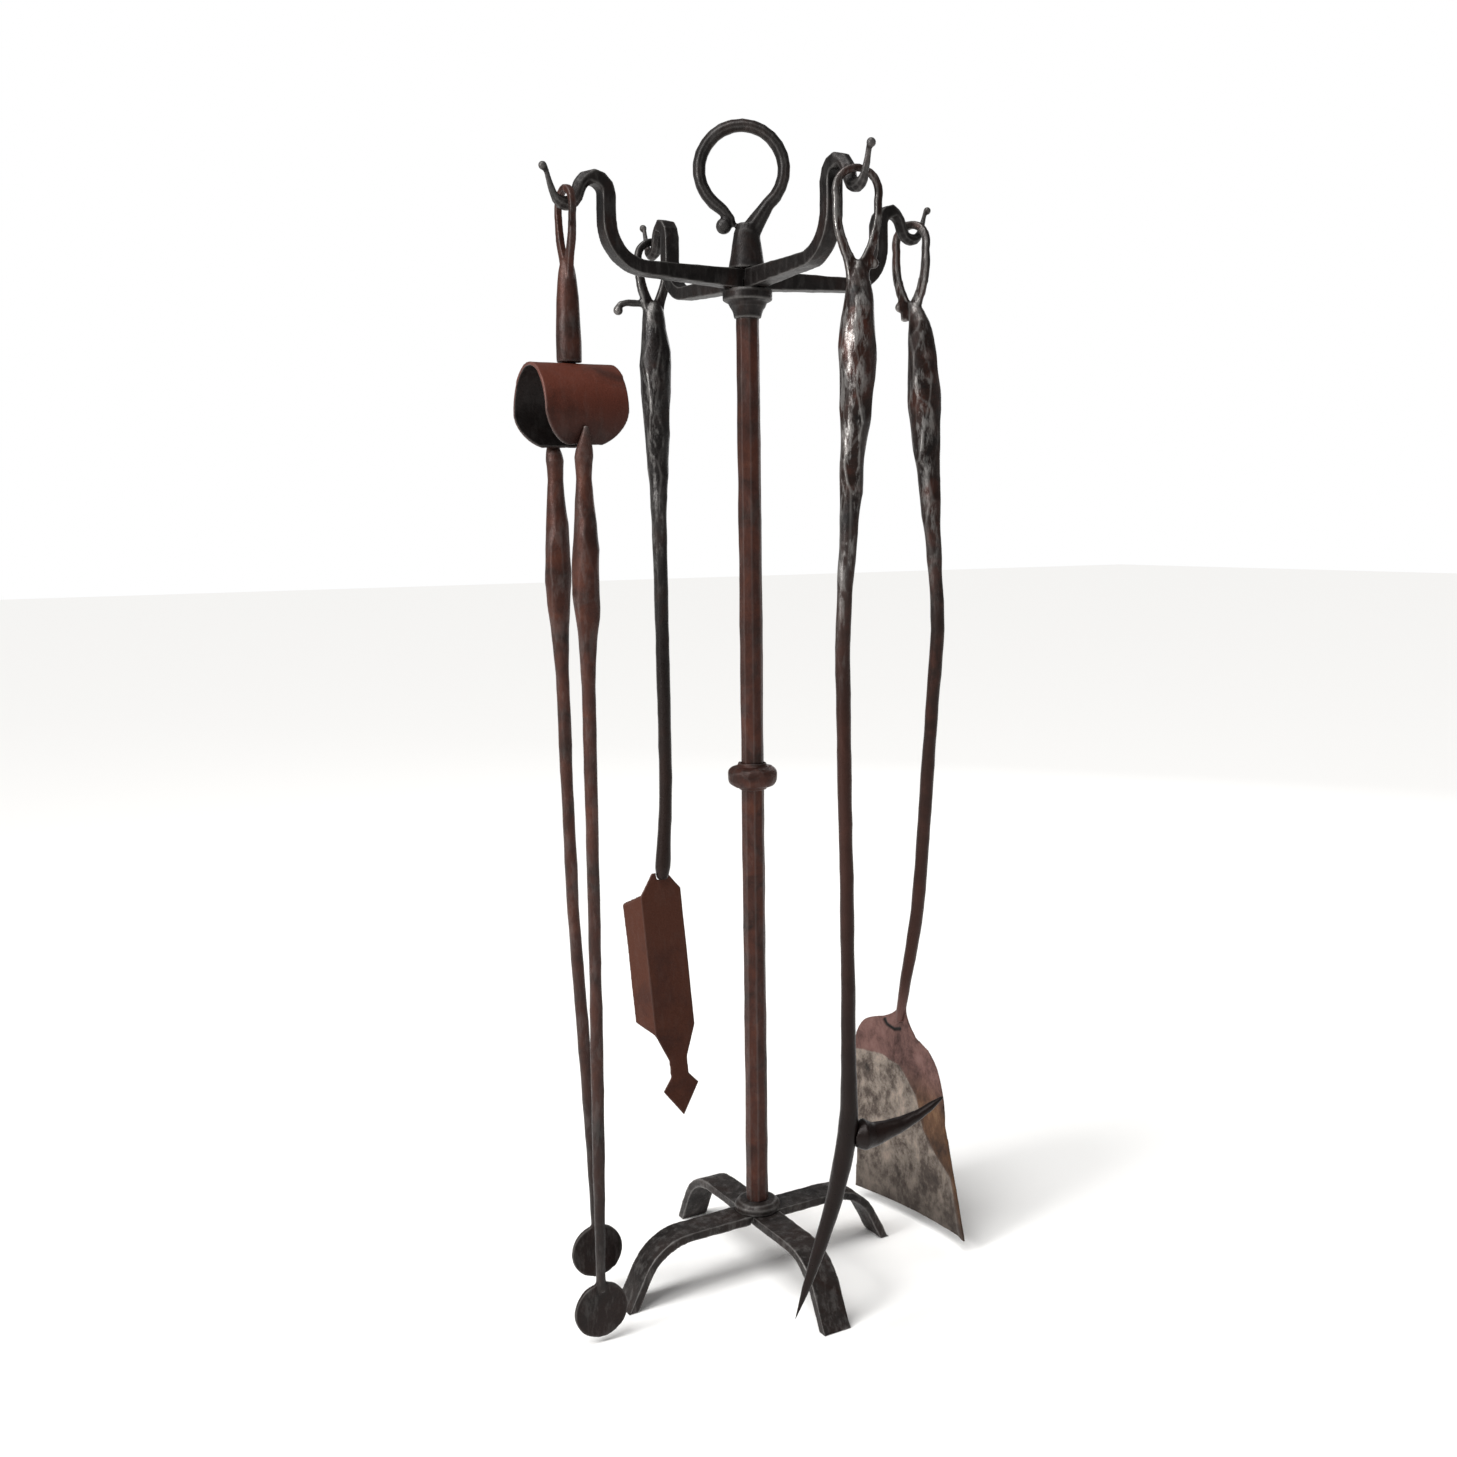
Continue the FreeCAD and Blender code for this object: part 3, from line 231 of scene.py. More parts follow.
def forged_iron(
    name, coat_colours, patch_mm, rough=0.5, worn=0.0, rubs=0.3, zone=None, fades=(), hollow=None,
):
    """Hand-forged wrought iron under old oil.

    Fire scale and oil give a broken dark coat, and thin rust shows through it in patches. Hands
    polish the ridges between hammer marks to bare metal, so they catch the light. zone is where
    they do, as low, high and blur; there the bright metal is also painted mostly on faces turned
    towards -X, the side the key light falls on, as a painted highlight. rubs is how much of the
    wear lies in patches and not on ridges. fades are the heights over which the coat turns to
    another colour lower down, and hollow is the middle of a bend whose faces turned towards it
    are painted near soot black as painted shade.
    """
    made, tree, shader, place = start_material(name, Specular_IOR_Level=0.25)
    patches = add_node(
        tree, "ShaderNodeTexNoise",
        {"Vector": place, "Scale": 1000 / patch_mm, "Detail": 7.0, "Roughness": 0.66, "Distortion": 0.6},
    )
    coat = add_node(tree, "ShaderNodeValToRGB", {"Fac": patches.outputs["Fac"]})
    fill_ramp(coat, list(zip((0.34, 0.52, 0.68), coat_colours)))
    colour = coat.outputs["Color"]
    grain = fire_scale(tree, shader, place, 1.4, 0.4, 0.6)
    height = add_node(tree, "ShaderNodeSeparateXYZ", {"Vector": place}).outputs["Z"]
    for low, high, share, deep in fades:
        lower = add_node(
            tree, "ShaderNodeMapRange",
            {"Value": height, "From Min": low, "From Max": high, "To Min": share, "To Max": 0.0},
            interpolation_type="SMOOTHSTEP",
        )
        colour = add_node(
            tree, "ShaderNodeMix", {0: lower.outputs[0], 6: colour, 7: deep}, data_type="RGBA",
        ).outputs[2]
    # Painted shade: faces of the bend turned towards its middle are painted near soot black.
    if hollow:
        outward = add_node(tree, "ShaderNodeVectorMath", {0: place, 1: hollow}, operation="SUBTRACT")
        facing = add_node(tree, "ShaderNodeNewGeometry").outputs["Normal"]
        turned_in = add_node(
            tree, "ShaderNodeVectorMath", {0: outward.outputs[0], 1: facing}, operation="DOT_PRODUCT",
        )
        bend_painted_shade = add_node(
            tree, "ShaderNodeMapRange",
            {
                "Value": turned_in.outputs["Value"],
                "From Min": -0.015, "From Max": 0.01, "To Min": 0.95, "To Max": 0.0,
            },
        )
        # this soot colour is painted shade inside the bend, not real soot
        soot = linear(bpy.context.scene.forge_colours.soot)
        colour = add_node(
            tree, "ShaderNodeMix", {0: bend_painted_shade.outputs[0], 6: colour, 7: soot}, data_type="RGBA",
        ).outputs[2]
    roughness = add_node(
        tree, "ShaderNodeMapRange",
        {"Value": grain, "From Min": 0.3, "From Max": 0.7, "To Min": rough - 0.1, "To Max": rough + 0.12},
    ).outputs[0]
    ridge = add_node(tree, "ShaderNodeNewGeometry").outputs["Pointiness"]
    ridges = add_node(tree, "ShaderNodeMapRange", {"Value": ridge, "From Min": 0.505, "From Max": 0.56})
    streaks = add_node(
        tree, "ShaderNodeTexNoise",
        {
            "Vector": add_node(
                tree, "ShaderNodeMapping", {"Vector": place, "Scale": (1, 1, RUB_ALONG)},
            ).outputs[0],
            "Scale": 1000 / RUB_MM, "Detail": 5.0, "Roughness": 0.7,
        },
    )
    rubbed = add_node(
        tree, "ShaderNodeMapRange",
        {"Value": streaks.outputs["Fac"], "From Min": 0.5, "From Max": 0.62, "To Max": rubs},
    )
    both = add_node(
        tree, "ShaderNodeMath", {0: ridges.outputs[0], 1: rubbed.outputs[0]},
        operation="ADD", use_clamp=True,
    )
    wear_and_painted_sheen = add_node(
        tree, "ShaderNodeMath", {0: both.outputs[0], 1: worn}, operation="MULTIPLY",
    ).outputs[0]
    if zone:
        low, high, blur = zone
        rise = add_node(
            tree, "ShaderNodeMapRange", {"Value": height, "From Min": low, "From Max": low + blur},
            interpolation_type="SMOOTHSTEP",
        )
        fall = add_node(
            tree, "ShaderNodeMapRange",
            {
                "Value": height, "From Min": high - blur / 3, "From Max": high,
                "To Min": 1.0, "To Max": 0.35,
            },
            interpolation_type="SMOOTHSTEP",
        )
        held = add_node(
            tree, "ShaderNodeMath", {0: rise.outputs[0], 1: fall.outputs[0]}, operation="MULTIPLY",
        )
        wear_and_painted_sheen = add_node(
            tree, "ShaderNodeMath", {0: wear_and_painted_sheen, 1: held.outputs[0]}, operation="MULTIPLY",
        ).outputs[0]
        # Painted highlight: within the zone the bright worn metal is kept mostly to faces turned towards
        # -X, where the key light falls, and fades to little on the far side.
        facing = add_node(tree, "ShaderNodeNewGeometry").outputs["Normal"]
        lit_side_sheen = add_node(
            tree, "ShaderNodeMapRange",
            {
                "Value": add_node(tree, "ShaderNodeSeparateXYZ", {"Vector": facing}).outputs["X"],
                "From Min": -0.5, "From Max": 0.3, "To Min": 1.0, "To Max": 0.06,
            },
            interpolation_type="SMOOTHSTEP",
        )
        wear_and_painted_sheen = add_node(
            tree, "ShaderNodeMath", {0: wear_and_painted_sheen, 1: lit_side_sheen.outputs[0]}, operation="MULTIPLY",
        ).outputs[0]
    # bright stands for real wear on ridges and in rubbed patches, and for the painted highlight on the -X
    # faces of grips
    bright = linear(bpy.context.scene.forge_colours.bright)
    mixes = (
        ("Base Color", {0: wear_and_painted_sheen, 6: colour, 7: bright}, "RGBA", 2),
        ("Roughness", {0: wear_and_painted_sheen, 2: roughness, 3: 0.27}, "FLOAT", 0),
        ("Metallic", {0: wear_and_painted_sheen, 2: 0.3, 3: 1.0}, "FLOAT", 0),
    )
    for socket, inputs, kind, output in mixes:
        mix = add_node(tree, "ShaderNodeMix", inputs, data_type=kind)
        tree.links.new(mix.outputs[output], shader.inputs[socket])
    return made


def scoured_sheet(name):
    """Sheet iron of a shovel's blade.

    Ash scours the hollow to a mottled grey with dark pits and long scratches; the raised rim
    keeps its bronze heat tint, and the root keeps pinkish scale and a dark forging crack.
    """
    tints = bpy.context.scene.forge_colours
    made, tree, shader, place = start_material(name, Metallic=0.45, Specular_IOR_Level=0.4)
    fire_scale(tree, shader, place, 2.4, 0.5, 0.5)
    mottle = add_node(
        tree, "ShaderNodeTexNoise",
        {
            "Vector": add_node(
                tree, "ShaderNodeMapping", {"Vector": place, "Scale": (1, 1, MOTTLE_ALONG)},
            ).outputs[0],
            "Scale": 1000 / MOTTLE_MM, "Detail": 9.0, "Roughness": 0.74, "Distortion": 0.2,
        },
    ).outputs["Fac"]
    scoured = add_node(tree, "ShaderNodeValToRGB", {"Fac": mottle})
    fill_ramp(
        scoured,
        [
            (0.34, linear(tints.pit)),
            (0.45, linear(tints.pit_edge)),
            (0.54, linear(tints.ash)),
            (0.66, linear(tints.scoured)),
        ],
    )
    tinted = add_node(tree, "ShaderNodeValToRGB", {"Fac": mottle})
    fill_ramp(
        tinted,
        [
            (0.35, linear(tints.bronze_dark)),
            (0.55, linear(tints.bronze)),
            (0.72, linear(tints.bronze_pale)),
        ],
    )
    scaled = add_node(tree, "ShaderNodeValToRGB", {"Fac": mottle})
    fill_ramp(
        scaled,
        [
            (0.35, linear(tints.scale_dark)),
            (0.55, linear(tints.pink)),
            (0.72, linear(tints.scale_pale)),
        ],
    )
    height = add_node(tree, "ShaderNodeSeparateXYZ", {"Vector": place}).outputs["Z"]
    upper = add_node(
        tree, "ShaderNodeMapRange", {"Value": height, "From Min": 0.095, "From Max": 0.13},
        interpolation_type="SMOOTHSTEP",
    )
    rim = add_node(
        tree, "ShaderNodeMix", {0: upper.outputs[0], 6: tinted.outputs[0], 7: scaled.outputs[0]},
        data_type="RGBA",
    ).outputs[2]
    hollow = add_node(tree, "ShaderNodeAttribute", attribute_name="hollow").outputs["Fac"]
    wander = add_node(tree, "ShaderNodeMath", {0: mottle, 1: -0.5}, operation="ADD")
    ragged = add_node(tree, "ShaderNodeMath", {0: hollow, 1: wander.outputs[0]}, operation="ADD")
    inside = add_node(
        tree, "ShaderNodeMapRange", {"Value": ragged.outputs[0], "From Min": 0.35, "From Max": 0.6},
    )
    face = add_node(
        tree, "ShaderNodeMix", {0: inside.outputs[0], 6: rim, 7: scoured.outputs[0]}, data_type="RGBA",
    ).outputs[2]
    dark_foot = add_node(
        tree, "ShaderNodeMapRange",
        {"Value": height, "From Min": 0.005, "From Max": 0.065, "To Min": 0.85, "To Max": 0.0},
    )
    face = add_node(
        tree, "ShaderNodeMix", {0: dark_foot.outputs[0], 6: face, 7: linear(tints.burnt)},
        data_type="RGBA",
    ).outputs[2]
    crack = add_node(tree, "ShaderNodeAttribute", attribute_name="crack").outputs["Fac"]
    face = add_node(
        tree, "ShaderNodeMix", {0: crack, 6: face, 7: linear(tints.soot)}, data_type="RGBA",
    ).outputs[2]
    tree.links.new(face, shader.inputs["Base Color"])
    dull = add_node(
        tree, "ShaderNodeMapRange",
        {"Value": mottle, "From Min": 0.35, "From Max": 0.65, "To Min": 0.7, "To Max": 0.42},
    )
    tree.links.new(dull.outputs[0], shader.inputs["Roughness"])
    return made


FINISHES = {}
# BOW_MIDDLE is the middle of the tongs' bow; faces turned towards it are painted near black as painted
# shade
BOW_MIDDLE = (-0.13, 0, 0.6065)


def make_finishes():
    """Every finish of the set, made once."""
    if FINISHES:
        return
    tints = bpy.context.scene.forge_colours
    codes = (tints.soot, tints.oiled, tints.brown, tints.rust)
    soot, oiled, brown, rust = (linear(code) for code in codes)
    russet, copper, pink, trodden = (
        linear(code) for code in (tints.russet, tints.copper, tints.pink, tints.trodden)
    )
    FINISHES["stand"] = forged_iron(
        "oiled_forge_black_iron", (soot, oiled, brown), 30, 0.4, worn=0.32, rubs=0.12,
    )
    FINISHES["base"] = forged_iron(
        "trodden_forge_black_iron", (soot, trodden, brown), 30, 0.5, worn=0.45, rubs=0.25,
    )
    FINISHES["post"] = forged_iron(
        "oiled_brown_black_iron", (brown, rust, russet), 22, 0.46, worn=0.2, rubs=0.15,
    )
    # the poker, shovel and brush grips get a painted highlight on their -X faces through zone
    FINISHES["poker"] = forged_iron(
        "hand_polished_grip_iron_painted_sheen", (soot, brown, rust), 26, 0.36, worn=1.0, rubs=0.6,
        zone=(0.42, 0.75, 0.14), fades=((0.36, 0.56, 0.6, rust), (0.17, 0.36, 0.85, soot)),
    )
    FINISHES["shovel"] = forged_iron(
        "hand_polished_grip_iron_painted_sheen", (soot, brown, rust), 26, 0.36, worn=0.9, rubs=0.4,
        zone=(0.44, 0.75, 0.14), fades=((0.2, 0.5, 0.6, rust), (0.15, 0.2, 0.8, pink)),
    )
    FINISHES["brush"] = forged_iron(
        "oiled_grip_iron_painted_sheen", (soot, oiled, brown), 26, 0.32, worn=0.6, rubs=0.5,
        zone=(0.44, 0.75, 0.14), fades=((0.3, 0.5, 0.75, brown),),
    )
    FINISHES["tongs"] = forged_iron(
        "rust_brown_spring_iron", (brown, rust, russet), 26, 0.44, worn=0.2, rubs=0.3,
        fades=((0.05, 0.3, 0.85, soot),),
    )
    # the bow's faces inside its bend get painted shade through hollow
    FINISHES["bow"] = forged_iron(
        "rubbed_rust_spring_sheet_painted_shade", (rust, copper, copper), 40, 0.5, worn=0.12, rubs=0.15,
        fades=((0.575, 0.634, 0.92, soot),), hollow=BOW_MIDDLE,
    )
    FINISHES["sheet"] = forged_iron(
        "rusted_sheet_iron", (rust, russet, russet), 40, 0.6, worn=0.1, rubs=0.15,
    )
    FINISHES["blade"] = scoured_sheet("ash_scoured_sheet_iron")


def finish(piece, node, body, key):
    """Give a piece its finish, its body and the CAD node that it stands for."""
    piece.data.materials.clear()
    piece.data.materials.append(FINISHES[key])
    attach(piece, body)
    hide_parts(node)


# ---------------------------------------------------------------- forging


def solid_copy(node, name):
    """A merged copy of a CAD node's mesh, as stock to forge from."""
    piece = bpy.data.objects.new(name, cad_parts[node].data.copy())
    bpy.context.scene.collection.objects.link(piece)
    select_only(piece)
    bpy.ops.object.mode_set(mode="EDIT")
    bpy.ops.mesh.select_all(action="SELECT")
    bpy.ops.mesh.remove_doubles(threshold=0.02 * MM)
    bpy.ops.object.mode_set(mode="OBJECT")
    return piece


def dent(piece, kind, depth, size, stretch, level, group="", seed=0.0):
    """Press a pattern of marks into a piece, along its normals."""
    pattern = bpy.data.textures.new(f"{piece.name}_{kind.lower()}", kind)
    pattern.noise_scale = size
    if kind == "VORONOI":
        pattern.distance_metric = "DISTANCE_SQUARED"
    guide = bpy.data.objects.new(f"{piece.name}_guide", None)
    bpy.context.scene.collection.objects.link(guide)
    guide.location = (seed, seed * 0.7, seed * 1.3)
    guide.scale = (1.0, 1.0, stretch)
    bpy.context.view_layer.update()
    modify(
        piece, "DISPLACE", texture=pattern, texture_coords="OBJECT", texture_coords_object=guide,
        strength=depth, mid_level=level, vertex_group=group,
    )
    bpy.data.objects.remove(guide)


def mark_zone(piece, name, low, high, blur):
    """A vertex group that is full between two heights and fades over blur."""
    group = piece.vertex_groups.new(name=name)
    for vertex in piece.data.vertices:
        weight = min((vertex.co.z - low) / blur, (high - vertex.co.z) / blur, 1.0)
        if weight > 0:
            group.add([vertex.index], weight, "REPLACE")


def forge(node, name, soften=6, voxel=1.0, blow=1.0, stretch=None, grip=None, seed=0.1, level=0.8):
    """Forge a bar: rounded edges, a wandering size and hammer marks pressed into its surface.

    Every size of the marks is a share of the set's own; grip is a range of heights with deeper
    marks, as low, high and blur; level is how much of a mark goes inwards, where 1 only cuts and
    0 only swells.
    """
    sizes = bpy.context.scene.forge_sizes
    piece = solid_copy(node, name)
    modify(piece, "REMESH", mode="VOXEL", voxel_size=sizes.voxel * voxel)
    modify(piece, "SMOOTH", factor=0.5, iterations=soften)
    long = sizes.blow_stretch if stretch is None else stretch
    if grip:
        mark_zone(piece, "grip", *grip)
        deep, wide = sizes.grip_depth, sizes.blow_width * 1.25
        dent(piece, "VORONOI", deep, wide, long * 1.3, 0.1, "grip", seed + 0.3)
    dent(piece, "VORONOI", sizes.blow_depth * blow, sizes.blow_width, long, level, seed=seed)
    dent(piece, "CLOUDS", sizes.drift, 26 * MM, 1.6, level - 0.08, seed=seed + 0.7)
    select_only(piece)
    bpy.ops.object.shade_smooth()
    return piece


class FORGE_OT_base(bpy.types.Operator):
    """Forge the crossed foot bars and the collar on them"""

    bl_idname = "forge.base"
    bl_label = "Base"

    def execute(self, context):
        make_finishes()
        for number, node in enumerate(("base_bar_sides", "base_bar_ends")):
            piece = forge(node, f"{node}_forged", soften=4, blow=1.1, stretch=1.0, seed=0.2 + number)
            for vertex in piece.data.vertices:
                vertex.co.z = max(vertex.co.z, 0.0)  # the feet are flat where they stand
            finish(piece, node, "stand", "base")
        collar = forge("foot_collar", "foot_collar_forged", 3, 0.7, 0.7, 1.0, level=0.2)
        finish(collar, "foot_collar", "stand", "base")
        return {"FINISHED"}


class FORGE_OT_post(bpy.types.Operator):
    """Forge the eight-sided post with its knop and top collar"""

    bl_idname = "forge.post"
    bl_label = "Post"

    def execute(self, context):
        make_finishes()
        finish(forge("post", "post_forged", 2, 0.9, 0.9, 3.0, seed=0.4), "post", "stand", "post")
        finish(forge("knop", "knop_forged", 8, 0.7, 1.6, 1.0, seed=0.5), "knop", "stand", "post")
        collar = forge("top_collar", "top_collar_forged", 2, 0.7, 0.7, 1.0, level=0.0)
        finish(collar, "top_collar", "stand", "stand")
        return {"FINISHED"}


class FORGE_OT_spider(bpy.types.Operator):
    """Forge the two crossed bars of arms with their hooks"""

    bl_idname = "forge.spider"
    bl_label = "Spider"

    def execute(self, context):
        make_finishes()
        for number, node in enumerate(("spider_bar_sides", "spider_bar_ends")):
            piece = forge(
                node, f"{node}_forged", soften=4, voxel=0.8, blow=0.8, stretch=1.2, seed=0.6 + number,
            )
            finish(piece, node, "stand", "stand")
        return {"FINISHED"}


class FORGE_OT_carry_ring(bpy.types.Operator):
    """Forge the boss, neck and ring that the set is lifted by"""

    bl_idname = "forge.carry_ring"
    bl_label = "Carry ring"

    def execute(self, context):
        make_finishes()
        piece = forge("carry_ring", "carry_ring_forged", 8, 0.8, 0.7, 1.4, seed=0.8)
        finish(piece, "carry_ring", "stand", "stand")
        return {"FINISHED"}


class FORGE_OT_poker(bpy.types.Operator):
    """Forge the poker and its side prong"""

    bl_idname = "forge.poker"
    bl_label = "Poker"

    def execute(self, context):
        make_finishes()
        shaft = forge("poker_shaft", "poker_shaft_forged", 12, grip=(0.50, 0.69, 0.03), seed=1.1)
        finish(shaft, "poker_shaft", "poker", "poker")
        prong = forge("poker_hook", "poker_prong_forged", 6, 0.8, 0.8, 1.0, seed=1.2, level=0.1)
        finish(prong, "poker_hook", "poker", "poker")
        return {"FINISHED"}


# The blade's marks, as millimetres along the blade and millimetres up
HOLLOW_EDGE = ((-90, 122), (-34, 126), (-14, 122), (3, 104), (12, 78), (25, 65), (43, 52), (58, 0))
ROOT_CRACK = ((-32, 156), (-27, 152), (-19, 150), (-13, 152))
BLADE_TURN = -83
BLADE_MIDDLE = (0.137, -0.001, 0)
HOLLOW_DEPTH = 1.6
RIM_SLOPE = 8
CRACK_DEPTH = 0.6
CRACK_WIDTH = 1.6
CRACK_STAIN = 2.2
CRACK_SLOPE = 1.6
NECK_MIDDLE = -11.7  # the handle's middle along the blade
NECK_FOOT = 150.0
NECK_RISE = 18.0
NECK_DRAWN = 0.55


def smooth_step(value):
    """0 to 1 without corners."""
    value = min(max(value, 0.0), 1.0)
    return value * value * (3 - 2 * value)


def line_distance(x, y, line):
    """Distance from a point to a line of several straight runs."""
    nearest = 1e9
    for (ax, ay), (bx, by) in zip(line, line[1:]):
        run = (bx - ax) ** 2 + (by - ay) ** 2
        part = min(max(((x - ax) * (bx - ax) + (y - ay) * (by - ay)) / run, 0.0), 1.0)
        nearest = min(nearest, math.hypot(x - ax - part * (bx - ax), y - ay - part * (by - ay)))
    return nearest


def edge_distance(x, y, line):
    """Distance to the hollow's edge, negative on its lower left side."""
    limit = line[0][1]
    for (ax, ay), (bx, by) in zip(line, line[1:]):
        if ax <= x <= bx:
            limit = ay + (by - ay) * (x - ax) / (bx - ax)
    if x > line[-1][0]:
        limit = -100
    distance = line_distance(x, y, line)
    return -distance if y < limit else distance


class FORGE_OT_shovel(bpy.types.Operator):
    """Forge the shovel's handle and raise its blade"""

    bl_idname = "forge.shovel"
    bl_label = "Shovel"

    def execute(self, context):
        make_finishes()
        handle = forge(
            "shovel_handle", "shovel_handle_forged", 12, grip=(0.50, 0.69, 0.03), seed=1.4, level=0.4,
        )
        finish(handle, "shovel_handle", "shovel", "shovel")
        blade = forge("shovel_blade", "shovel_blade_raised", 2, 0.75, 0.3, 1.0, seed=1.5)
        self.sink_hollow(blade)
        finish(blade, "shovel_blade", "shovel", "blade")
        return {"FINISHED"}

    def sink_hollow(self, blade):
        """Sink the pan inside its rim, draw its neck in, and open the forging crack at its root."""
        turn = math.radians(BLADE_TURN)
        along = Vector((math.cos(turn), math.sin(turn), 0))
        behind = Vector((-along.y, along.x, 0))
        middle = Vector(BLADE_MIDDLE)
        hollow = blade.data.attributes.new("hollow", "FLOAT", "POINT")
        crack = blade.data.attributes.new("crack", "FLOAT", "POINT")
        for vertex in blade.data.vertices:
            out = (vertex.co - middle).dot(along) / MM
            high = vertex.co.z / MM
            inside = -edge_distance(out, high, HOLLOW_EDGE)
            depth = smooth_step(inside / RIM_SLOPE + 0.5)
            gap = line_distance(out, high, ROOT_CRACK)
            hollow.data[vertex.index].value = depth
            crack.data[vertex.index].value = smooth_step((CRACK_STAIN - gap) / CRACK_SLOPE)
            drawn_in = NECK_DRAWN * smooth_step((high - NECK_FOOT) / NECK_RISE)
            vertex.co += along * (NECK_MIDDLE - out) * drawn_in * MM
            opened = CRACK_DEPTH * smooth_step((CRACK_WIDTH - gap) / 1.2)
            vertex.co += behind * (HOLLOW_DEPTH * depth + opened) * MM


class FORGE_OT_brush(bpy.types.Operator):
    """Forge the brush's handle and its folded sheet back"""

    bl_idname = "forge.brush"
    bl_label = "Brush"

    def execute(self, context):
        make_finishes()
        handle = forge(
            "brush_handle", "brush_handle_forged", 10, grip=(0.52, 0.69, 0.03), seed=1.7, level=0.4,
        )
        finish(handle, "brush_handle", "brush", "brush")
        back = forge("brush_back", "brush_back_folded", 1, 0.75, 0.2, 1.0, seed=1.8)
        finish(back, "brush_back", "brush", "sheet")
        return {"FINISHED"}


class FORGE_OT_tongs(bpy.types.Operator):
    """Forge the tongs: eye and shank, spring bow and two arms"""

    bl_idname = "forge.tongs"
    bl_label = "Tongs"

    def execute(self, context):
        make_finishes()
        hanger = forge("tongs_hanger", "tongs_hanger_forged", 8, 0.8, 1.0, seed=2.1)
        finish(hanger, "tongs_hanger", "tongs", "tongs")
        bow = forge("tongs_bow", "tongs_bow_bent", 1, 0.8, 0.2, 1.0, seed=2.2)
        finish(bow, "tongs_bow", "tongs", "bow")
        for side in ("front", "back"):
            node = f"tongs_arm_{side}"
            piece = forge(
                node, f"{node}_forged", 8, 0.9, 1.0, grip=(0.46, 0.56, 0.03), seed=2.4 + len(side),
            )
            finish(piece, node, f"tongs_{side}", "tongs")
        return {"FINISHED"}


FLOOR_WIDTH = 24.0
SET_MIDDLE = (0, 0, 0.42)


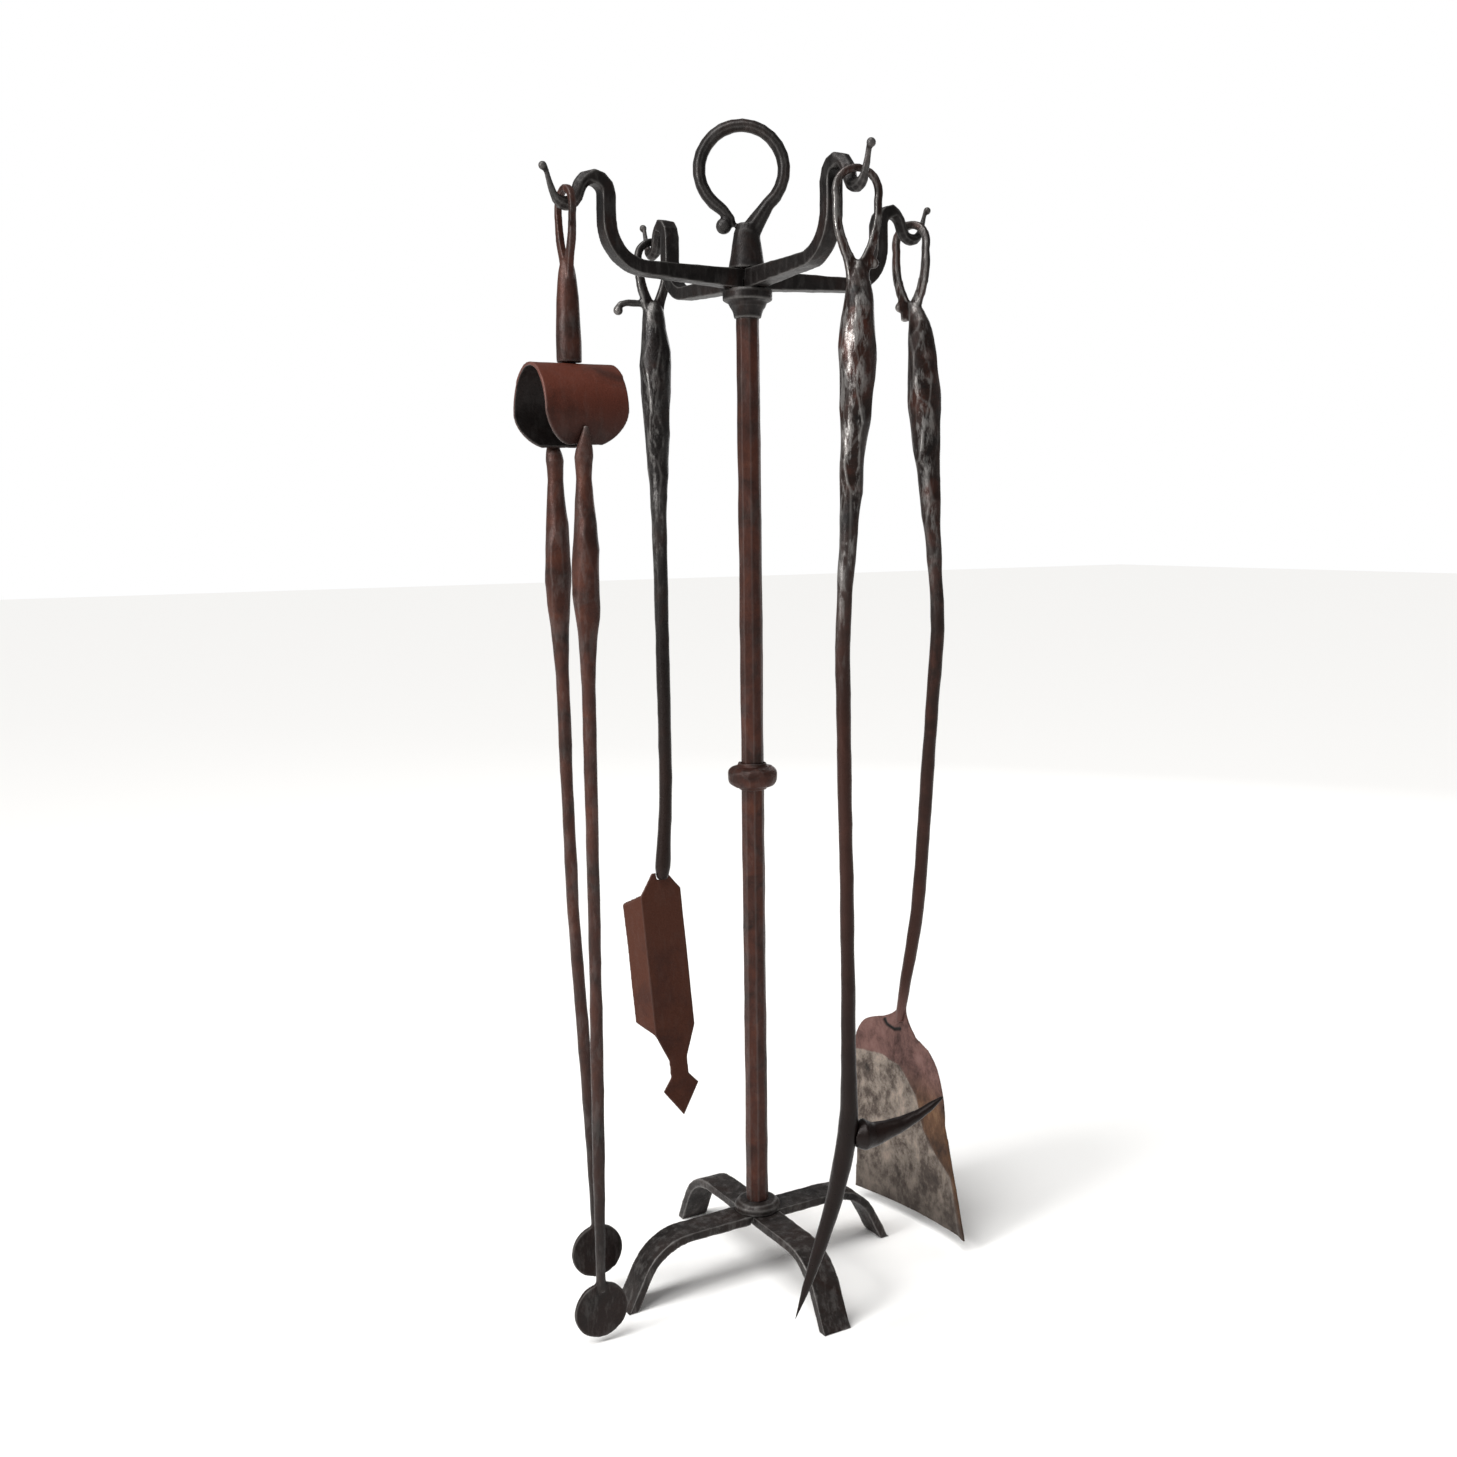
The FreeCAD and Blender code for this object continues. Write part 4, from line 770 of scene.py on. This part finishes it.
class FORGE_OT_stage(bpy.types.Operator):
    """Set the pale floor, the soft lights and the camera"""

    bl_idname = "forge.stage"
    bl_label = "Stage"

    def execute(self, context):
        scene = context.scene
        bpy.ops.object.select_all(action="DESELECT")
        bpy.ops.mesh.primitive_plane_add(size=FLOOR_WIDTH, location=(0, 0, 0))
        floor = context.active_object
        floor.name = "pale_floor"
        made = bpy.data.materials.new("pale_floor_paint")
        made.use_nodes = True
        shader = made.node_tree.nodes["Principled BSDF"]
        shader.inputs["Base Color"].default_value = linear(scene.forge_colours.floor)
        shader.inputs["Roughness"].default_value = 0.9
        floor.data.materials.append(made)
        self.add_world(scene)
        scene.view_settings.view_transform = "Standard"
        self.add_sun((-1.0, -0.3, 1.9), 2.7)
        self.add_light("key", (-1.6, -0.1, 1.1), 0.5, 22.0)
        self.add_light("rim", (1.6, 1.2, 1.0), 0.8, 5.0)
        self.add_camera(scene)
        return {"FINISHED"}

    def add_world(self, scene):
        """A white surround that lights the iron only a little, so its blacks stay deep."""
        world = bpy.data.worlds.new("studio")
        world.use_nodes = True
        tree = world.node_tree
        seen = add_node(tree, "ShaderNodeLightPath").outputs["Is Camera Ray"]
        strength = add_node(
            tree, "ShaderNodeMapRange", {"Value": seen, "To Min": 0.24, "To Max": 1.0},
        )
        tree.links.new(strength.outputs[0], tree.nodes["Background"].inputs["Strength"])
        tree.nodes["Background"].inputs["Color"].default_value = (1.0, 1.0, 1.0, 1.0)
        scene.world = world

    def add_sun(self, source, strength):
        """The broad even light from above that keeps the floor pale to the horizon."""
        lamp = bpy.data.lights.new("sky_light", "SUN")
        lamp.energy = strength
        lamp.angle = math.radians(40)
        thing = bpy.data.objects.new("sky_light", lamp)
        thing.rotation_euler = (-Vector(source)).to_track_quat("-Z", "Y").to_euler()
        bpy.context.scene.collection.objects.link(thing)

    def add_light(self, name, place, size, power):
        """A soft square light that faces the middle of the set."""
        lamp = bpy.data.lights.new(f"{name}_light", "AREA")
        lamp.size = size
        lamp.energy = power
        thing = bpy.data.objects.new(f"{name}_light", lamp)
        thing.location = place
        thing.rotation_euler = (Vector(SET_MIDDLE) - Vector(place)).to_track_quat("-Z", "Y").to_euler()
        bpy.context.scene.collection.objects.link(thing)

    def add_camera(self, scene):
        """The camera at the set's usual viewing angle."""
        view = scene.forge_camera
        lens = bpy.data.cameras.new("camera")
        lens.sensor_width = 36.0
        lens.lens = view.lens
        lens.shift_x = view.shift
        lens.clip_start = 0.01
        camera = bpy.data.objects.new("camera", lens)
        turn = Vector(view.ahead).to_track_quat("-Z", "Y") @ Quaternion((0, 0, 1), view.roll)
        camera.matrix_world = Matrix.Translation(view.place) @ turn.to_matrix().to_4x4()
        scene.collection.objects.link(camera)
        scene.camera = camera


class FORGE_PT_panel(bpy.types.Panel):
    """The steps that make the set"""

    bl_label = "Fireplace Set"
    bl_idname = "FORGE_PT_panel"
    bl_space_type = "VIEW_3D"
    bl_region_type = "UI"
    bl_category = "Fireplace Set"

    def draw(self, context):
        for group in (context.scene.forge_sizes, context.scene.forge_colours, context.scene.forge_camera):
            for name in group.bl_rna.properties.keys():
                if name not in ("rna_type", "name"):
                    self.layout.prop(group, name)
        for step in STEPS:
            self.layout.operator(step.bl_idname)


STEPS = (
    FORGE_OT_base,
    FORGE_OT_post,
    FORGE_OT_spider,
    FORGE_OT_carry_ring,
    FORGE_OT_poker,
    FORGE_OT_shovel,
    FORGE_OT_brush,
    FORGE_OT_tongs,
    FORGE_OT_stage,
)
CLASSES = (ForgeSizes, ForgeColours, CameraSizes, *STEPS, FORGE_PT_panel)


def register():
    """Make the classes and the scene's settings known to Blender."""
    for kind in CLASSES:
        bpy.utils.register_class(kind)
    bpy.types.Scene.forge_sizes = PointerProperty(type=ForgeSizes)
    bpy.types.Scene.forge_colours = PointerProperty(type=ForgeColours)
    bpy.types.Scene.forge_camera = PointerProperty(type=CameraSizes)


def unregister():
    """Take them away again."""
    del bpy.types.Scene.forge_camera
    del bpy.types.Scene.forge_colours
    del bpy.types.Scene.forge_sizes
    for kind in reversed(CLASSES):
        bpy.utils.unregister_class(kind)


def main():
    """Make the whole set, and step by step."""
    register()
    bpy.ops.forge.base()
    bpy.ops.forge.post()
    bpy.ops.forge.spider()
    bpy.ops.forge.carry_ring()
    bpy.ops.forge.poker()
    bpy.ops.forge.shovel()
    bpy.ops.forge.brush()
    bpy.ops.forge.tongs()
    bpy.ops.forge.stage()


if __name__ == "__main__":
    main()
